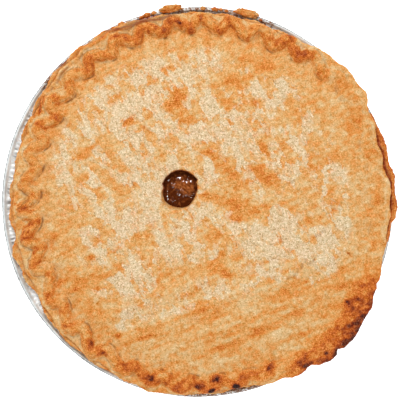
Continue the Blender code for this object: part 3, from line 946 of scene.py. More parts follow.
@dataclass(frozen=True)
class TableFinish:
    """The pale lit table the pie stands on."""

    name: str = "pale_table"
    tone: float = 0.93
    glow: float = 0.76

    def make(self) -> bpy.types.Material:
        """Returns the material."""
        made, board, shader = new_material(self.name)
        grain = board.noise(board.place(), 0.02, 2.0)
        low, high = (self.tone - 0.01,) * 3, (self.tone + 0.01,) * 3
        colour = board.mix(grain, (*low, 1), (*high, 1))
        glow = {"Emission Color": (1, 1, 1, 1), "Emission Strength": self.glow}
        board.feed(shader, {"Base Color": colour, "Roughness": 0.9, "Specular IOR Level": 0.0, **glow})
        return made


# The listed baking marks.


@dataclass(frozen=True)
class Mark:
    """A spot that baked browner or kept less flour: middle, half sizes, turn in degrees and strengths."""

    x: float
    y: float
    length: float
    width: float
    turn: float
    bake: float
    flour: float = 0.0

    def at(self, x: Values, y: Values) -> Values:
        """Returns how strong the mark is at points, from 0 to 1."""
        along, across = turned(x - self.x, y - self.y, self.turn)
        return hump(np.hypot(along / self.length, across / self.width))


LID_MARKS = tuple(Mark(*row) for row in (
    (-12.2, 67.4, 4, 4, 0, 0.24, -0.9), (-17.8, 60.2, 5.5, 4.5, 0, 0.16, -0.8),
    (-8, 54, 9, 4.5, -42, 0.14, -0.9), (-53.9, 63.3, 4, 3, 20, 0.13, -0.6),
    (-44.2, 49.9, 6.5, 2.6, 44, 0.20, -0.8), (-33, 45.7, 3, 3, 0, 0.12, -0.5),
    (-68.1, 33.1, 9, 1.9, 36, 0.12, -0.6), (-55.3, 30.7, 11, 2.6, -58, 0.08, -0.8),
    (-45.7, 21.1, 4.5, 3.5, 0, 0.12, -0.6), (-72.9, 14.7, 4, 3, 0, 0.10, -0.4),
    (-59, 16, 11, 2.6, -52, 0.08, -0.7), (-48.9, 6.7, 5, 5, 0, 0.07, -0.7),
    (-21, 81.8, 3, 2.4, 0, 0.12, -0.4), (-28.2, 75.4, 3.5, 2.6, 0, 0.08, -0.5),
    (21.2, 75.4, 6.5, 4.5, 0, 0.13, -0.8), (16.3, 62.5, 9, 2.8, -68, 0.10, -0.9),
    (27.6, 87.4, 5.5, 3, 42, 0.12, -0.6), (41.2, 85, 4, 2.6, -10, 0.12, -0.6),
    (47.6, 84, 3, 2.6, 0, 0.12, -0.4), (46, 76.2, 6.5, 5, 0, 0.08, -0.3), (34.8, 61.8, 3, 3, 0, 0.10, -0.5),
    (58, 62.5, 5.5, 3, -40, 0.11, -0.6), (69.2, 62.5, 4.5, 4, 0, 0.09, -0.6),
    (49.2, 49.9, 8.5, 2.4, 20, 0.09, -0.5), (57.2, 41.9, 2.4, 2.4, 0, 0.10, -0.3),
    (42, 32, 7.5, 2.6, -52, 0.13, -0.7), (52.4, 34.6, 3.5, 3.5, 0, 0.08, -0.5),
    (70.8, 23.5, 3.6, 1.9, -60, 0.18, -0.6), (14, 24, 18, 3.6, -46, 0.12, -0.8),
    (23.5, 9, 9, 2.6, -64, 0.11, -0.7), (44.4, 14.7, 6.5, 4.5, -35, 0.19, -0.8),
    (36, 21.5, 7, 4, -35, 0.12, -0.6), (6.1, 4.3, 5.5, 3.5, 35, 0.20, -0.8),
    (17, 1, 7, 4.5, 20, 0.15, -0.8), (25.3, -3.6, 7, 4, -25, 0.18, -0.8), (36.3, -6, 6, 4.5, 0, 0.11, -0.6),
    (23.6, -10, 5, 2.6, 0, 0.18, -0.8), (-37, -21.9, 6, 3.2, 35, 0.13, -0.9),
    (-31, -22.7, 3, 3, 0, 0.11, -0.5), (-63.3, -24.3, 3.2, 3.2, 0, 0.15, -0.6),
    (-67.3, -34.7, 2.6, 1.8, 10, 0.22, -0.5), (-84.1, -32.3, 5, 2.3, 30, 0.18, -0.5),
    (-89.8, -23.5, 4, 4, 0, 0.08, 0), (-74.6, -49.1, 6, 2.2, 12, 0.18, -0.5),
    (-76.1, -54.7, 5, 2.2, 0, 0.20, -0.5), (-87.3, -51.5, 5, 2, 35, 0.19, -0.5),
    (-62.5, -53.9, 1, 1, 0, 0.32, -0.4), (-58, -46, 10, 2.4, 24, 0.10, -0.5),
    (-63.3, -70.7, 6, 5, 0, 0.12, -0.4), (-40.1, -49.9, 1.3, 1.3, 0, 0.16, -0.5),
    (-49.7, -83.5, 2.3, 1.8, 0, 0.26, -0.3), (9.3, -20.3, 4.5, 4, 0, 0.08, -0.7),
    (14.9, -32.3, 3.6, 3.2, 0, 0.15, -0.7), (12, -39, 12, 3.2, 14, 0.15, -0.9),
    (17.2, -44.3, 8.5, 2.6, -8, 0.16, -0.8), (20.4, -49.1, 1.1, 2, 0, 0.15, 0),
    (71.6, -12.3, 5.5, 2.4, 15, 0.09, -0.6), (57.2, -53.9, 13, 2.9, 25, 0.15, -0.7),
    (46, -59.5, 8.5, 2, 20, 0.11, -0.6), (60.4, -69.9, 12, 2, 15, 0.16, -0.4),
    (44.4, -77.1, 9.5, 2, 15, 0.11, -0.4), (27.6, -77.1, 9.5, 2, 20, 0.11, -0.4),
    (11.7, -82.7, 10.5, 2.2, 15, 0.15, -0.4), (17.2, -89.8, 9.5, 2.2, 12, 0.16, -0.4),
    (34.8, -80.8, 9.5, 2, 18, 0.10, -0.4), (-10, -72, 22, 1.8, 18, 0.10, -0.3),
    (-28, -84, 18, 2, 14, 0.10, -0.3), (91.5, -52.3, 5.5, 2.6, 10, 0.22, -0.6),
    (79.6, -54.7, 9, 2, 15, 0.11, -0.5), (94.7, -65.1, 4, 4, 0, 0.22, -0.4),
    (77.1, 79.6, 4.5, 3.6, 0, 0.12, 0), (89.2, 70.6, 5, 4, 0, 0.08, 0), (95.6, 56.4, 6, 5, 0, 0.08, 0),
    (99.6, 46.6, 6, 5, 0, 0.08, 0), (86, 28.3, 5.5, 4.5, 0, 0.08, -0.4), (109, 29.1, 4, 3.6, 0, 0.10, 0),
    (113.2, 3.5, 4, 5, 0, 0.10, 0), (107.5, -6, 4, 3.2, 0, 0.06, 0), (109, -18.8, 5, 4.5, 0, 0.05, 0),
    (108.4, -37, 4.5, 4, 0, 0.08, 0), (94.4, -32.4, 1.5, 0.5, -52, 0.60, -0.5),
    (-10.9, 111.8, 2.4, 1.7, -60, 0.45, 0), (93.6, -62.7, 0.6, 0.6, 0, 0.45, 0),
    (67.6, -49.9, 0.6, 0.6, 0, 0.40, 0), (64.8, -89, 0.6, 0.6, 0, 0.40, 0),
    (-108.9, -15.2, 1.1, 0.6, 60, 0.35, 0), (-106.4, -18.5, 1.4, 0.7, 60, 0.42, 0),
    (-114.6, -1.3, 1.1, 1.1, 0, 0.45, 0), (-105.7, -45.9, 2.4, 0.7, -55, 0.38, 0),
    (-99, 57, 4, 0.8, 72, 0.40, 0),
))

# Burnt spots on the rim; the darkest ones at the lid's very edge are partly char and partly painted shadow under
# the edge.
RIM_CHARS_AND_EDGE_SHADOWS = tuple(Mark(*row) for row in (
    (-66.5, -88.3, 2.4, 3, 35, 0.46), (-61.7, -93.9, 4, 2.6, -28, 0.42), (-79.3, -78.7, 4, 3, -35, 0.20),
    (-44.1, -104.3, 4, 2.2, -20, 0.40), (-29.8, -111.4, 4.2, 3, 0, 0.42),
    (-17.8, -115.3, 5.5, 3.4, 0, 0.26), (0.5, -116.2, 4, 3, 10, 0.55), (10, -111.4, 5.5, 2.6, 0, 0.40),
    (29.2, -109, 3.6, 2.6, 0, 0.26), (45.2, -103.4, 4.2, 3, 20, 0.34), (63, -100, 4, 3, 20, 0.18),
    (-104.1, -3.6, 3.4, 3, 40, 0.16), (-104.1, -22.7, 3, 2.6, 40, 0.14), (-101.7, -37.9, 3, 3, 0, 0.12),
    (-92.1, -60.2, 4.5, 3, -55, 0.14), (-41, 106.5, 5, 3, 15, 0.08), (-21, 110, 5, 4, 0, 0.10),
    (20.5, 112, 5, 4, 0, 0.10), (52, 99.5, 5, 4, 0, 0.10), (24.1, -115.9, 1.8, 1.5, 0, 1.6),
    (8.8, -118.3, 1.6, 1.3, 0, 1.6), (30.2, -115.6, 0.7, 0.7, 0, 1.2), (67.6, -102.6, 1.6, 1.3, 0, 1.3),
    (80.4, -94.6, 1.6, 1.3, 0, 1.3),
))

FLOUR_DRIFTS = tuple(Mark(*row[:5], 0, row[5]) for row in (
    (-30.1, 67, 26, 20, 0, 0.66), (-52, 45.1, 22, 18, 0, 0.75), (10.7, 51.4, 24, 22, -50, 0.95),
    (18.8, 46.6, 6, 6, 0, 0.6), (26.3, 38.9, 22, 20, -50, 0.85), (44, 66, 22, 14, 10, 0.70),
    (57.7, 32.6, 24, 20, 0, 0.62), (63.6, 32.3, 5, 4, 0, 0.5), (-30.1, 20.1, 22, 20, 0, 0.85),
    (-38, -10, 24, 20, 0, 0.80), (-61.4, -27, 14, 9, 20, 0.50), (-39.5, -43, 15, 12, 20, 0.80),
    (-55.1, -52, 12, 8, 20, 0.30), (-5, -15, 24, 14, 0, 0.80), (20.1, -25.8, 20, 18, 0, 0.75),
    (47.1, -24.8, 26, 18, -20, 0.85), (78.4, -22.8, 20, 18, 0, 0.75), (66.1, -47.9, 14, 9, 0, 0.45),
    (-46, -73.9, 8, 5, 30, 0.55), (-28, -66, 10, 6, 20, 0.45), (5, -60, 26, 9, 20, 0.40),
    (-76, 20, 14, 22, 0, 0.35), (-6, 88, 26, 11, 0, 0.55), (-54, 70, 17, 14, 40, 0.60),
    (27.6, 80.2, 4, 3, 0, 0.70), (-78, 36, 10, 18, -20, 0.35), (2, 10, 12, 12, 0, 0.45),
    (8, 27, 10, 9, -50, 0.30), (84, 8, 14, 24, 0, 0.30), (80, 50, 12, 12, 0, 0.20),
))


# The pastry. Each part of its rim is a start, an end and the width of its rise and fall, in degrees.

BURNT = (293, 344, 14, 14)
LEFT = (128, 262, 24, 24)
UPPER_LEFT = (100, 160, 12, 10)
LOWEST = (222, 300, 12, 10)
SPILL = (95, 119, 4, 4)


@dataclass
class Lid:
    """The pastry lid: crimped rim, floured and blistered dome, and the vent hole's crumbly wall."""

    shape: PieShape
    finish: PastryFinish = PastryFinish("lid_shortcrust")
    grain: Grain = Grain(11)
    rim_count: int = 1216
    dome_count: int = 608
    inner_count: int = 304
    under_count: int = 152
    edge_inset: float = 1.5
    rim_inner: float = 98.0
    rope_half: float = 5.0
    rope_brown: float = 0.28
    flour_most: float = 0.86
    burnt_most: float = 0.88
    vent_outline: tuple[tuple[float, float, float], ...] = (
        (4, 11.4, 11.1), (24, 11.5, 11.2), (29, 12.9, 12.2), (42, 12.5, 12.1), (69, 12.3, 11.9),
        (85, 12.5, 12.1), (99, 12.3, 11.9), (116, 12.1, 11.7), (143, 11.9, 11.5), (163, 11.6, 11.2),
        (175, 10.4, 9.7), (196, 12, 11.1), (216, 14.1, 11.9), (235, 13.7, 11.6), (256, 12.9, 11.4),
        (282, 12.2, 11.6), (300, 12, 11.5), (320, 11.4, 10.6), (346, 10.7, 10.1),
    )
    cracks: tuple[tuple[float, float, float, float], ...] = (
        (63, -43.5, 6, 50), (66, -38, 4, 42), (72, -36.5, 5, 40), (58, -46, 4, 55), (76, -20, 5, 35),
        (57.5, 12, 4, 30), (94.3, -32.5, 2.4, -52), (-109.3, 5.6, 5.1, -38), (-109.3, -1.3, 5.5, 43),
        (-8, 107.5, 2.4, 60), (-4.2, 104.5, 1.6, 20), (-40.5, 11.5, 3, -50),
    )

    def burn(self, x: Values, y: Values) -> Values:
        """Returns how burnt the lid is at points: only the rim at the lower right, most at its edge."""
        radius, azimuth = to_polar(x, y)
        start = blend(112.0, 104.0, smooth((azimuth - 290) / 45))
        start = start + 2.5 * self.grain.rough(x, y, 3.0, 9.0, 2)
        depth = (radius - start) / (self.shape.lid_edge(azimuth) - start + 1e-6)
        return between(azimuth, *BURNT) * smooth(depth * 1.25) * (radius > 90)

    def lower_part(self, x: Values, y: Values) -> Values:
        """Returns how far a point lies in the lid's lower, wrinkled part."""
        return smooth((-28 - turned(x, y, self.shape.fold_angle)[1]) / 30)

    def streaks(self, x: Values, y: Values) -> Values:
        """Returns the long wandering streaks of the lower part, about -1 to 1."""
        along, across = turned(x, y, self.shape.fold_angle)
        across = across + 1.6 * self.grain.lumps(x, y, 5.0, 26.0)
        return self.grain.lumps(along / 8.0, across, 1.0, 5.2)

    def relief(self, x: Values, y: Values) -> Values:
        """Returns the height of the lid's fine relief: lumps, wrinkles, streaks, blisters and cracks."""
        grain, radius, low = self.grain, np.hypot(x, y), self.lower_part(x, y)
        rim = smooth((radius - 99) / 6)
        height = 0.28 * low * (1 - 0.6 * rim) * (1 - 2.2 * np.abs(self.streaks(x, y)))
        down, side = turned(x, y, -60)
        height = height + 0.14 * (1 - low) * (1 - rim) * grain.lumps(down / 3.2, side, 2.0, 3.6)
        height = height + 0.36 * grain.rough(x, y, 0.0, 15.0, 2) + 0.20 * grain.rough(x, y, 7.0, 5.5, 1)
        height = height + 0.35 * grain.drops(x, y, 11.0, 0.30) * (1 - rim)
        edge_lumps = 0.34 * grain.rough(x, y, 9.0, 5.5, 2) + 0.30 * grain.drops(x + 5, y, 5.0, 0.4)
        height = height + rim * edge_lumps
        burnt = self.burn(x, y)
        bubbles = grain.drops(x, y + 9, 4.2, 0.8) + 0.7 * grain.drops(x + 3, y, 2.6, 0.7)
        height = height + burnt * (0.75 * bubbles + 0.45 * grain.rough(x, y, 4.0, 2.4, 2) - 0.3)
        return height - 0.45 * self.crack_mask(x, y)

    def crack_mask(self, x: Values, y: Values) -> Values:
        """Returns 1 along the thin cracks in the dome, and 0 away from them."""
        total = np.zeros(np.shape(x))
        wander = 0.8 * self.grain.lumps(x, y, 12.0, 3.0)
        for cx, cy, half, turn in self.cracks:
            along, across = turned(x - cx, y - cy, turn)
            ends = smooth((half - np.abs(along)) / 1.5)
            total = np.maximum(total, hump((across + wander) / 0.45) * ends)
        return total

    def top(self, x: Values, y: Values) -> Values:
        """Returns the height of the lid's upper face without its fine relief."""
        shape = self.shape
        radius, azimuth = to_polar(x, y)
        _, _, _, strength = shape.plan(azimuth)
        crest, edge = shape.ridge(azimuth), shape.lid_edge(azimuth)
        inner_foot = crest - shape.crimp_crease
        foot = shape.rim_bottom(np.minimum(radius, shape.bead_lift_to)) + shape.lid_edge_thick
        foot = foot - 0.5 * strength * hump((radius - inner_foot) / 1.8)
        rise = smooth((inner_foot + 0.8 - radius) / 8.0)
        ground = blend(foot, np.maximum(shape.dome(x, y), foot), rise)
        outer = np.clip(edge - crest + 0.8, 3.2, self.rope_half)
        away = shape.from_crest(x, y)
        reach = np.clip(np.where(away < 0, -away / self.rope_half, away / outer), 0, 1)
        ridge = (1 - reach**2.2) ** 1.3
        tall = shape.crimp_height * strength * (0.92 + 0.22 * shape.uneven(shape.phase(azimuth), 8))
        thin = 0.6 * smooth((away - 2) / 3) * strength
        return ground + tall * ridge - thin

    def rope_masks(self, x: Values, y: Values) -> tuple[Values, Values]:
        """How the pinched ridge, the rope, browned, with painted shade in the fold lines on and beside it and a
        painted highlight line along its outer edge.

        Args:
            x, y: the points.

        Returns:
            What it adds to the bake, and the painted shade in its fold lines and cracks.
        """
        shape, grain = self.shape, self.grain
        _, azimuth = to_polar(x, y)
        _, _, _, strength = shape.plan(azimuth)
        phase, away = shape.phase(azimuth), shape.from_crest(x, y)
        half = 3.6 + 0.9 * grain.rough(x, y, 5.0, 4.0, 3)
        rope = smooth((half + 0.3 - np.abs(away + 0.1)) / 0.7) * strength
        core = hump(away / 2.6) * strength
        turn_in = phase % 1.0
        slant = blend(0.3, 1.0, smooth((turn_in - 0.15) / 0.25) * smooth((1.04 - turn_in) / 0.14))
        patch = 0.62 + 0.35 * shape.uneven(phase, 9) + 0.80 * grain.rough(x, y, 3.0, 5.0, 3)
        patch = np.clip(patch * blend(0.8, 1.15, shape.wave(phase) ** 2), 0.0, 1.4)
        patch = patch * blend(1.0, slant, between(azimuth, *LEFT))
        bake = (0.70 * rope + 0.30 * core) * patch * self.rope_brown
        bake = bake - 0.03 * smooth((away - 3.6) / 1.0) * strength
        # Painted highlight: a thin paler line just outside the rope stands for light catching its edge.
        bake = bake - 0.14 * hump((away - half - 1.0) / 0.45) * strength
        raised = 0.35 + 0.65 * rope / np.maximum(strength, 0.3)
        # At the very edge the spots keep part of their darkness, which is partly char and partly painted shadow
        # under the edge.
        side = 1 - 0.7 * smooth((np.hypot(x, y) - shape.lid_edge(azimuth) + 0.7) / 0.6)
        for char in RIM_CHARS_AND_EDGE_SHADOWS:
            bake = bake + 0.75 * char.bake * char.at(x, y) * raised * side
        # Painted shade: thin dark fold lines across the rope, a painted shadow along its inner foot, a dark line
        # just outside it, and the cracks.
        lines = np.abs(grain.rough(phase * 9.0, away * 1.3, 6.0, 3.0, 2))
        folds = hump(lines / 0.10) * rope * smooth((np.abs(away) - 0.8) / 1.5)
        bend = smooth((0.55 - shape.wave(phase - 0.06)) / 0.9)
        foot_shadow = hump((away + 4.3 + 0.5 * grain.lumps(x, y, 2.0, 2.6)) / 0.5) * strength * bend
        crease = np.maximum(foot_shadow * self.broken(x, y), 0.6 * self.crack_mask(x, y))
        fold = hump((away - half - 0.45) / 0.30) * strength
        crease = crease + 0.7 * fold * clipped(0.35 + grain.lumps(x, y, 14.0, 6.0) * 2)
        return bake, crease + 0.42 * folds

    def broken(self, x: Values, y: Values) -> Values:
        """Returns how far a line is unbroken at points."""
        return smooth(0.75 + 1.6 * self.grain.rough(x, y, 8.0, 6.0, 3))

    def masks(self, x: Values, y: Values, wall: Values) -> dict[Mask, Values]:
        """How the lid baked.

        Args:
            x, y: the points.
            wall: how far a point lies down the vent's wall, from 0 to 1.

        Returns:
            The masks.
        """
        shape, grain = self.shape, self.grain
        radius, azimuth = to_polar(x, y)
        edge, low = shape.lid_edge(azimuth), self.lower_part(x, y)
        bake = 0.26 - 0.045 * low + 0.025 * smooth((radius - 97) / 8) + 0.04 * grain.rough(x, y, 2.0, 22.0, 3)
        flour = np.zeros(np.shape(x))
        for drift in FLOUR_DRIFTS:
            flour = flour + drift.flour * drift.at(x, y)
        flour = self.flour_most * (1 - np.exp(-1.6 * flour)) * (1 - smooth((radius - 91) / 11))
        for mark in LID_MARKS:
            spot = mark.at(x, y)
            bake = bake + mark.bake * spot
            flour = flour + mark.flour * spot
        bake = bake + 0.11 * low * clipped(np.abs(self.streaks(x, y)) * 2.2 - 0.35)
        # The rope's browning, and the shade painted into its fold lines and cracks.
        browned, crease = self.rope_masks(x, y)
        right = facing(azimuth, 15, 45, 14)
        bake = bake + browned - 0.03 * right * smooth((radius - 100) / 10)
        bake = bake + 0.10 * smooth((radius - edge + 2.2) / 2.2) * (0.35 + 0.6 * right)
        upper_left = between(azimuth, *UPPER_LEFT)
        lobes = smooth((grain.lumps(azimuth * 0.5, azimuth * 0.0, 3.0, 4.0) + 0.25) / 0.3) * upper_left
        bake = bake + 0.22 * smooth((radius - edge + 2.6) / 0.7) * lobes
        burnt = self.burn(x, y)
        bake = bake + burnt * (0.33 + 0.15 * grain.rough(x, y, 6.0, 4.0, 4))
        bake = np.minimum(bake + 0.14 * burnt * smooth((radius - edge + 6) / 5), self.burnt_most)
        bake = bake + 0.05 * between(azimuth, *LOWEST) * smooth((radius - 104) / 5)
        # Painted light and shade on the vent's wall: its near side is paler, as if lit, and its far side browner
        # and more syrup-soaked, partly real syrup and partly painted shade.
        near_side_lit = smooth((shape.vent[1] - y) / 6)
        wall_bake = 0.52 - 0.24 * near_side_lit + 0.10 * grain.rough(x, y, 0.0, 3.0, 2)
        bake = blend(bake, wall_bake, wall)
        wide = 2.2 + 1.2 * grain.lumps(azimuth * 0.8, azimuth * 0.0, 8.0, 4.0)
        soaked = between(azimuth, *SPILL) * smooth((radius - edge + wide) / 0.6)
        syrup = np.maximum(smooth((wall - 0.55) / 0.5) * blend(0.85, 0.15, near_side_lit), 0.7 * soaked)
        line = hump((radius - edge + 2.2) / 0.9) * (1 - lobes) * upper_left * self.broken(x, y)
        syrup = np.maximum(syrup, 0.55 * line)
        flour = clipped(flour) * (1 - wall)
        rows = {Mask.BAKE: bake, Mask.FLOUR: flour, Mask.CREASE: crease, Mask.SYRUP: syrup}
        return {mask: clipped(values) for mask, values in rows.items()}

    def edge_rings(self) -> list[Values]:
        """Returns the rings of the lid's flaky outer edge, from its underside up."""
        shape, azimuth = self.shape, around(self.rim_count)
        edge = shape.lid_edge(azimuth)
        rings = []
        for inset, rise in ((0.9, 0.0), (0.35, 0.10), (0.05, 0.30), (0.0, 0.50), (0.12, 0.70), (0.55, 0.90)):
            x, y = edge * np.cos(np.radians(azimuth)), edge * np.sin(np.radians(azimuth))
            radius = edge - inset + 0.42 * self.grain.rough(x, y, rise * 5, 2.6, 3) - 0.1
            floor = shape.rim_bottom(np.minimum(radius, 130.0))
            ceiling = self.top(*polar(edge - self.edge_inset, azimuth, 0.0)[:, :2].T)
            rings.append(polar(radius, azimuth, blend(floor, ceiling, rise)))
        return rings

    def surface_ring(self, radius: Values, count: int, centre: Values | None = None) -> Values:
        """A ring on the lid's upper face.

        Args:
            radius: its radius at each azimuth.
            count: how many points it has.
            centre: the middle it is measured from, or the pie's own.

        Returns:
            Its points.
        """
        ring = polar(radius, around(count), 0.0, centre if centre is not None else (0.0, 0.0))
        ring[:, 2] = self.top(ring[:, 0], ring[:, 1]) + self.relief(ring[:, 0], ring[:, 1])
        return ring

    def vent_radius(self, azimuth: Values, bottom: bool) -> Values:
        """Returns the vent hole's radius about its own middle, at its upper or its lower edge."""
        column = 2 if bottom else 1
        stops = [(row[0], row[column]) for row in self.vent_outline]
        ends = [stops[-1][0] - 360, *(a for a, _ in stops), stops[0][0] + 360]
        sizes = [stops[-1][1], *(r for _, r in stops), stops[0][1]]
        return np.interp(np.asarray(azimuth) % 360, ends, sizes)

    def inner_ring(self, radius: float, count: int) -> Values:
        """Returns a ring of the dome, which gathers about the vent and takes on its outline near it."""
        azimuth = around(count)
        gathered = float(self.shape.towards_vent(radius))
        own = self.vent_radius(azimuth, False) - self.shape.vent_radius
        centre = np.array(self.shape.vent) * gathered
        return self.surface_ring(radius + own * gathered**3, count, centre)

    def build(self) -> bpy.types.Object:
        """Returns the lid."""
        shape, draft = self.shape, MeshDraft("pastry_lid")
        azimuth = around(self.rim_count)
        crest, edge = shape.ridge(azimuth), shape.lid_edge(azimuth)
        rings = self.edge_rings()
        for share in np.linspace(0, 1, 12)[:-1]:
            rings.append(self.surface_ring(blend(edge - self.edge_inset, crest, share), self.rim_count))
        for share in np.linspace(0, 1, 10)[:-1]:
            rings.append(self.surface_ring(blend(crest, crest - shape.crimp_crease, share), self.rim_count))
        for share in np.linspace(0, 1, 8):
            radius = blend(crest - shape.crimp_crease, self.rim_inner, share)
            rings.append(self.surface_ring(radius, self.rim_count))
        rings += [self.inner_ring(radius, self.dome_count) for radius in np.arange(97.0, 44.0, -1.06)]
        rings += [self.inner_ring(radius, self.inner_count) for radius in np.arange(43.6, 11.7, -0.9)]
        top_count = sum(len(ring) for ring in rings)
        vent_azimuth = around(self.inner_count)
        upper, lower = self.vent_radius(vent_azimuth, False), self.vent_radius(vent_azimuth, True)
        lip = rings[-1][:, 2]
        walls = []
        for depth in (0.05, 0.18, 0.36, 0.55, 0.75, 1.0):
            lip_out = 0.45 * (1 - depth) * hump(depth / 0.12)
            radius = blend(upper, lower, smooth(depth * 1.15)) - 0.15 + lip_out
            ring = polar(radius, vent_azimuth, 0.0, shape.vent)
            rough = self.grain.rough(ring[:, 0], ring[:, 1], depth * 4, 2.2, 3)
            radius = radius + 0.35 * rough
            floor = shape.dome(ring[:, 0], ring[:, 1]) - shape.lid_thick
            walls.append(polar(radius, vent_azimuth, blend(lip, floor, depth), shape.vent))
        wall_count = len(walls) * self.inner_count
        under = []
        for radius in (16.0, 24.0, 36.0, 52.0, 70.0, 88.0, 97.0):
            share = float(shape.towards_vent(radius))
            ring = polar(radius, around(self.under_count), 0.0, np.array(shape.vent) * share)
            ring[:, 2] = shape.dome(ring[:, 0], ring[:, 1]) - shape.lid_thick
            under.append(ring)
        low = float(shape.rim_bottom(0.0))
        under.append(polar(105.0, around(self.under_count), low))
        flat = around(self.under_count * 2)
        under.append(polar(np.minimum(shape.lid_edge(flat) - 2.6, shape.bead_lift_from), flat, low))
        flat = around(self.under_count * 4)
        close = np.minimum(shape.lid_edge(flat) - 1.8, shape.bead_lift_to)
        under.append(polar(close, flat, shape.rim_bottom(close)))
        made = draft.loft(rings + walls + under)
        draft.join(made[-1], made[0])
        points = draft.all_points()
        wall = np.zeros(len(points))
        wall[top_count : top_count + wall_count] = np.repeat((0.25, 0.7, 0.95, 1, 1, 1), self.inner_count)
        return draft.build(self.finish.make(), self.masks(points[:, 0], points[:, 1], wall))


@dataclass
class BaseCrust:
    """The pastry base: it lines the tin, and its edge shows past the lid, most of all at the right."""

    shape: PieShape
    finish: PastryFinish = PastryFinish("base_shortcrust", bump=0.6)
    grain: Grain = Grain(23)
    count: int = 912
    thickness: float = 3.4
    foil: float = 0.6
    foot_radius: float = 95.0
    mouth_radius: float = 110.0
    foot_chamfer: float = 1.6
    pleat: float = 0.9

    def wall(self, height: float) -> float:
        """Returns the radius of the base's outer face at a height, just inside the tin."""
        share = (height - self.foot_chamfer) / (self.shape.flange_z - self.foot_chamfer)
        return blend(self.foot_radius, self.mouth_radius, share) - self.foil * 1.15 - self.pleat / 2 - GAP

    def flange_ring(self, inset: float, rise: float, limit: float = 1e3) -> Values:
        """A ring of the base's edge on the tin's flange.

        Args:
            inset: how far it is set in.
            rise: its share of the thickness.
            limit: the farthest it reaches.

        Returns:
            Its points.
        """
        azimuth = around(self.count)
        edge = self.shape.base_edge(azimuth)
        x, y = edge * np.cos(np.radians(azimuth)), edge * np.sin(np.radians(azimuth))
        rough = self.grain.rough(x, y, rise * 4, 2.4, 3)
        radius = np.minimum(edge - inset + 0.65 * rough * (inset < 1.0), limit)
        right = facing(azimuth, 7, 22, 8)
        curl = 0.9 * right * rise * (1 + 0.5 * rough)
        bottom = self.shape.flange_z + GAP + self.shape.lift(radius)
        lumps = 0.25 * self.grain.rough(radius * np.cos(np.radians(azimuth)), y, 2.0, 4.0, 2) * rise
        return polar(radius, azimuth, bottom + self.shape.base_flange * rise + (curl + lumps) * (inset < 1.4))

    def masks(self, points: Values) -> dict[Mask, Values]:
        """Returns how the base baked: orange at its edge, with syrup soaked in where it boiled over."""
        x, y, z = points.T
        radius, azimuth = to_polar(x, y)
        edge = self.shape.base_edge(azimuth)
        right, burnt = facing(azimuth, 8, 26, 10), between(azimuth, *BURNT)
        bake = 0.30 + 0.06 * self.grain.rough(x, y, z, 9.0, 3) + 0.17 * right + 0.45 * burnt
        bake = bake + 0.06 * smooth((radius - edge + 1.5) / 1.5)
        inner = smooth((self.shape.lid_edge(azimuth) + 1.3 - radius) / 1.2) * (radius > 112)
        spill = clipped(self.grain.lumps(x, y, 1.0, 7.0) * 1.6 + 0.2)
        top = between(azimuth, 98, 146, 8, 8)
        syrup = inner * right * blend(0.5, 1.0, spill) + 0.55 * top * spill * smooth((radius - 116.5) / 2)
        syrup = syrup + 0.22 * right * smooth((radius - 118) / 2) * spill
        for sx, sy, size in ((-114.7, -1.3, 1.3), (-98.9, 56.0, 2.0), (-97.5, 59.0, 2.0), (-105.7, -45.9, 1.6)):
            syrup = syrup + 0.9 * hump(np.hypot(x - sx, y - sy) / size)
        flour = np.zeros(len(points))
        return {Mask.BAKE: clipped(bake), Mask.FLOUR: flour, Mask.CREASE: flour, Mask.SYRUP: clipped(syrup)}

    def build(self) -> bpy.types.Object:
        """Returns the base crust."""
        draft, shape = MeshDraft("pastry_base"), self.shape
        few = around(self.count // 4)
        half = around(self.count // 2)
        floor = self.foil + GAP
        foot = self.foot_chamfer + 2 * self.foil
        mouth = shape.flange_z - self.thickness / 2
        floor_radius = self.wall(foot) - self.foot_chamfer - self.foil
        inner_top = self.wall(mouth) - self.thickness
        flange_top = float(shape.rim_bottom(0.0)) - GAP
        rings = [
            polar(floor_radius, few, floor),
            polar(self.wall(foot), few, foot),
            polar(self.wall(mouth), few, mouth),
            polar(self.wall(shape.flange_z), half, shape.flange_z + GAP),
            self.flange_ring(2.4, 0.0, shape.bead_lift_from),
            self.flange_ring(1.6, 0.0, shape.bead_lift_to),
            self.flange_ring(0.7, 0.0),
            self.flange_ring(0.25, 0.12),
            self.flange_ring(0.0, 0.32),
            self.flange_ring(0.0, 0.55),
            self.flange_ring(0.15, 0.78),
            self.flange_ring(0.5, 0.95),
            self.flange_ring(1.1, 1.0),
            self.flange_ring(1.9, 1.0, shape.bead_lift_to),
            self.flange_ring(3.4, 1.0, shape.bead_lift_from),
            polar(inner_top + 1.4, half, flange_top),
            polar(inner_top, few, mouth),
            polar(self.wall(foot) - self.thickness, few, floor + self.thickness + self.foot_chamfer),
            polar(floor_radius - self.thickness, few, floor + self.thickness),
        ]
        made = draft.loft(rings)
        draft.cap(made[0], (0, 0, floor), True)
        draft.cap(made[-1], (0, 0, floor + self.thickness))
        return draft.build(self.finish.make(), self.masks(draft.all_points()))


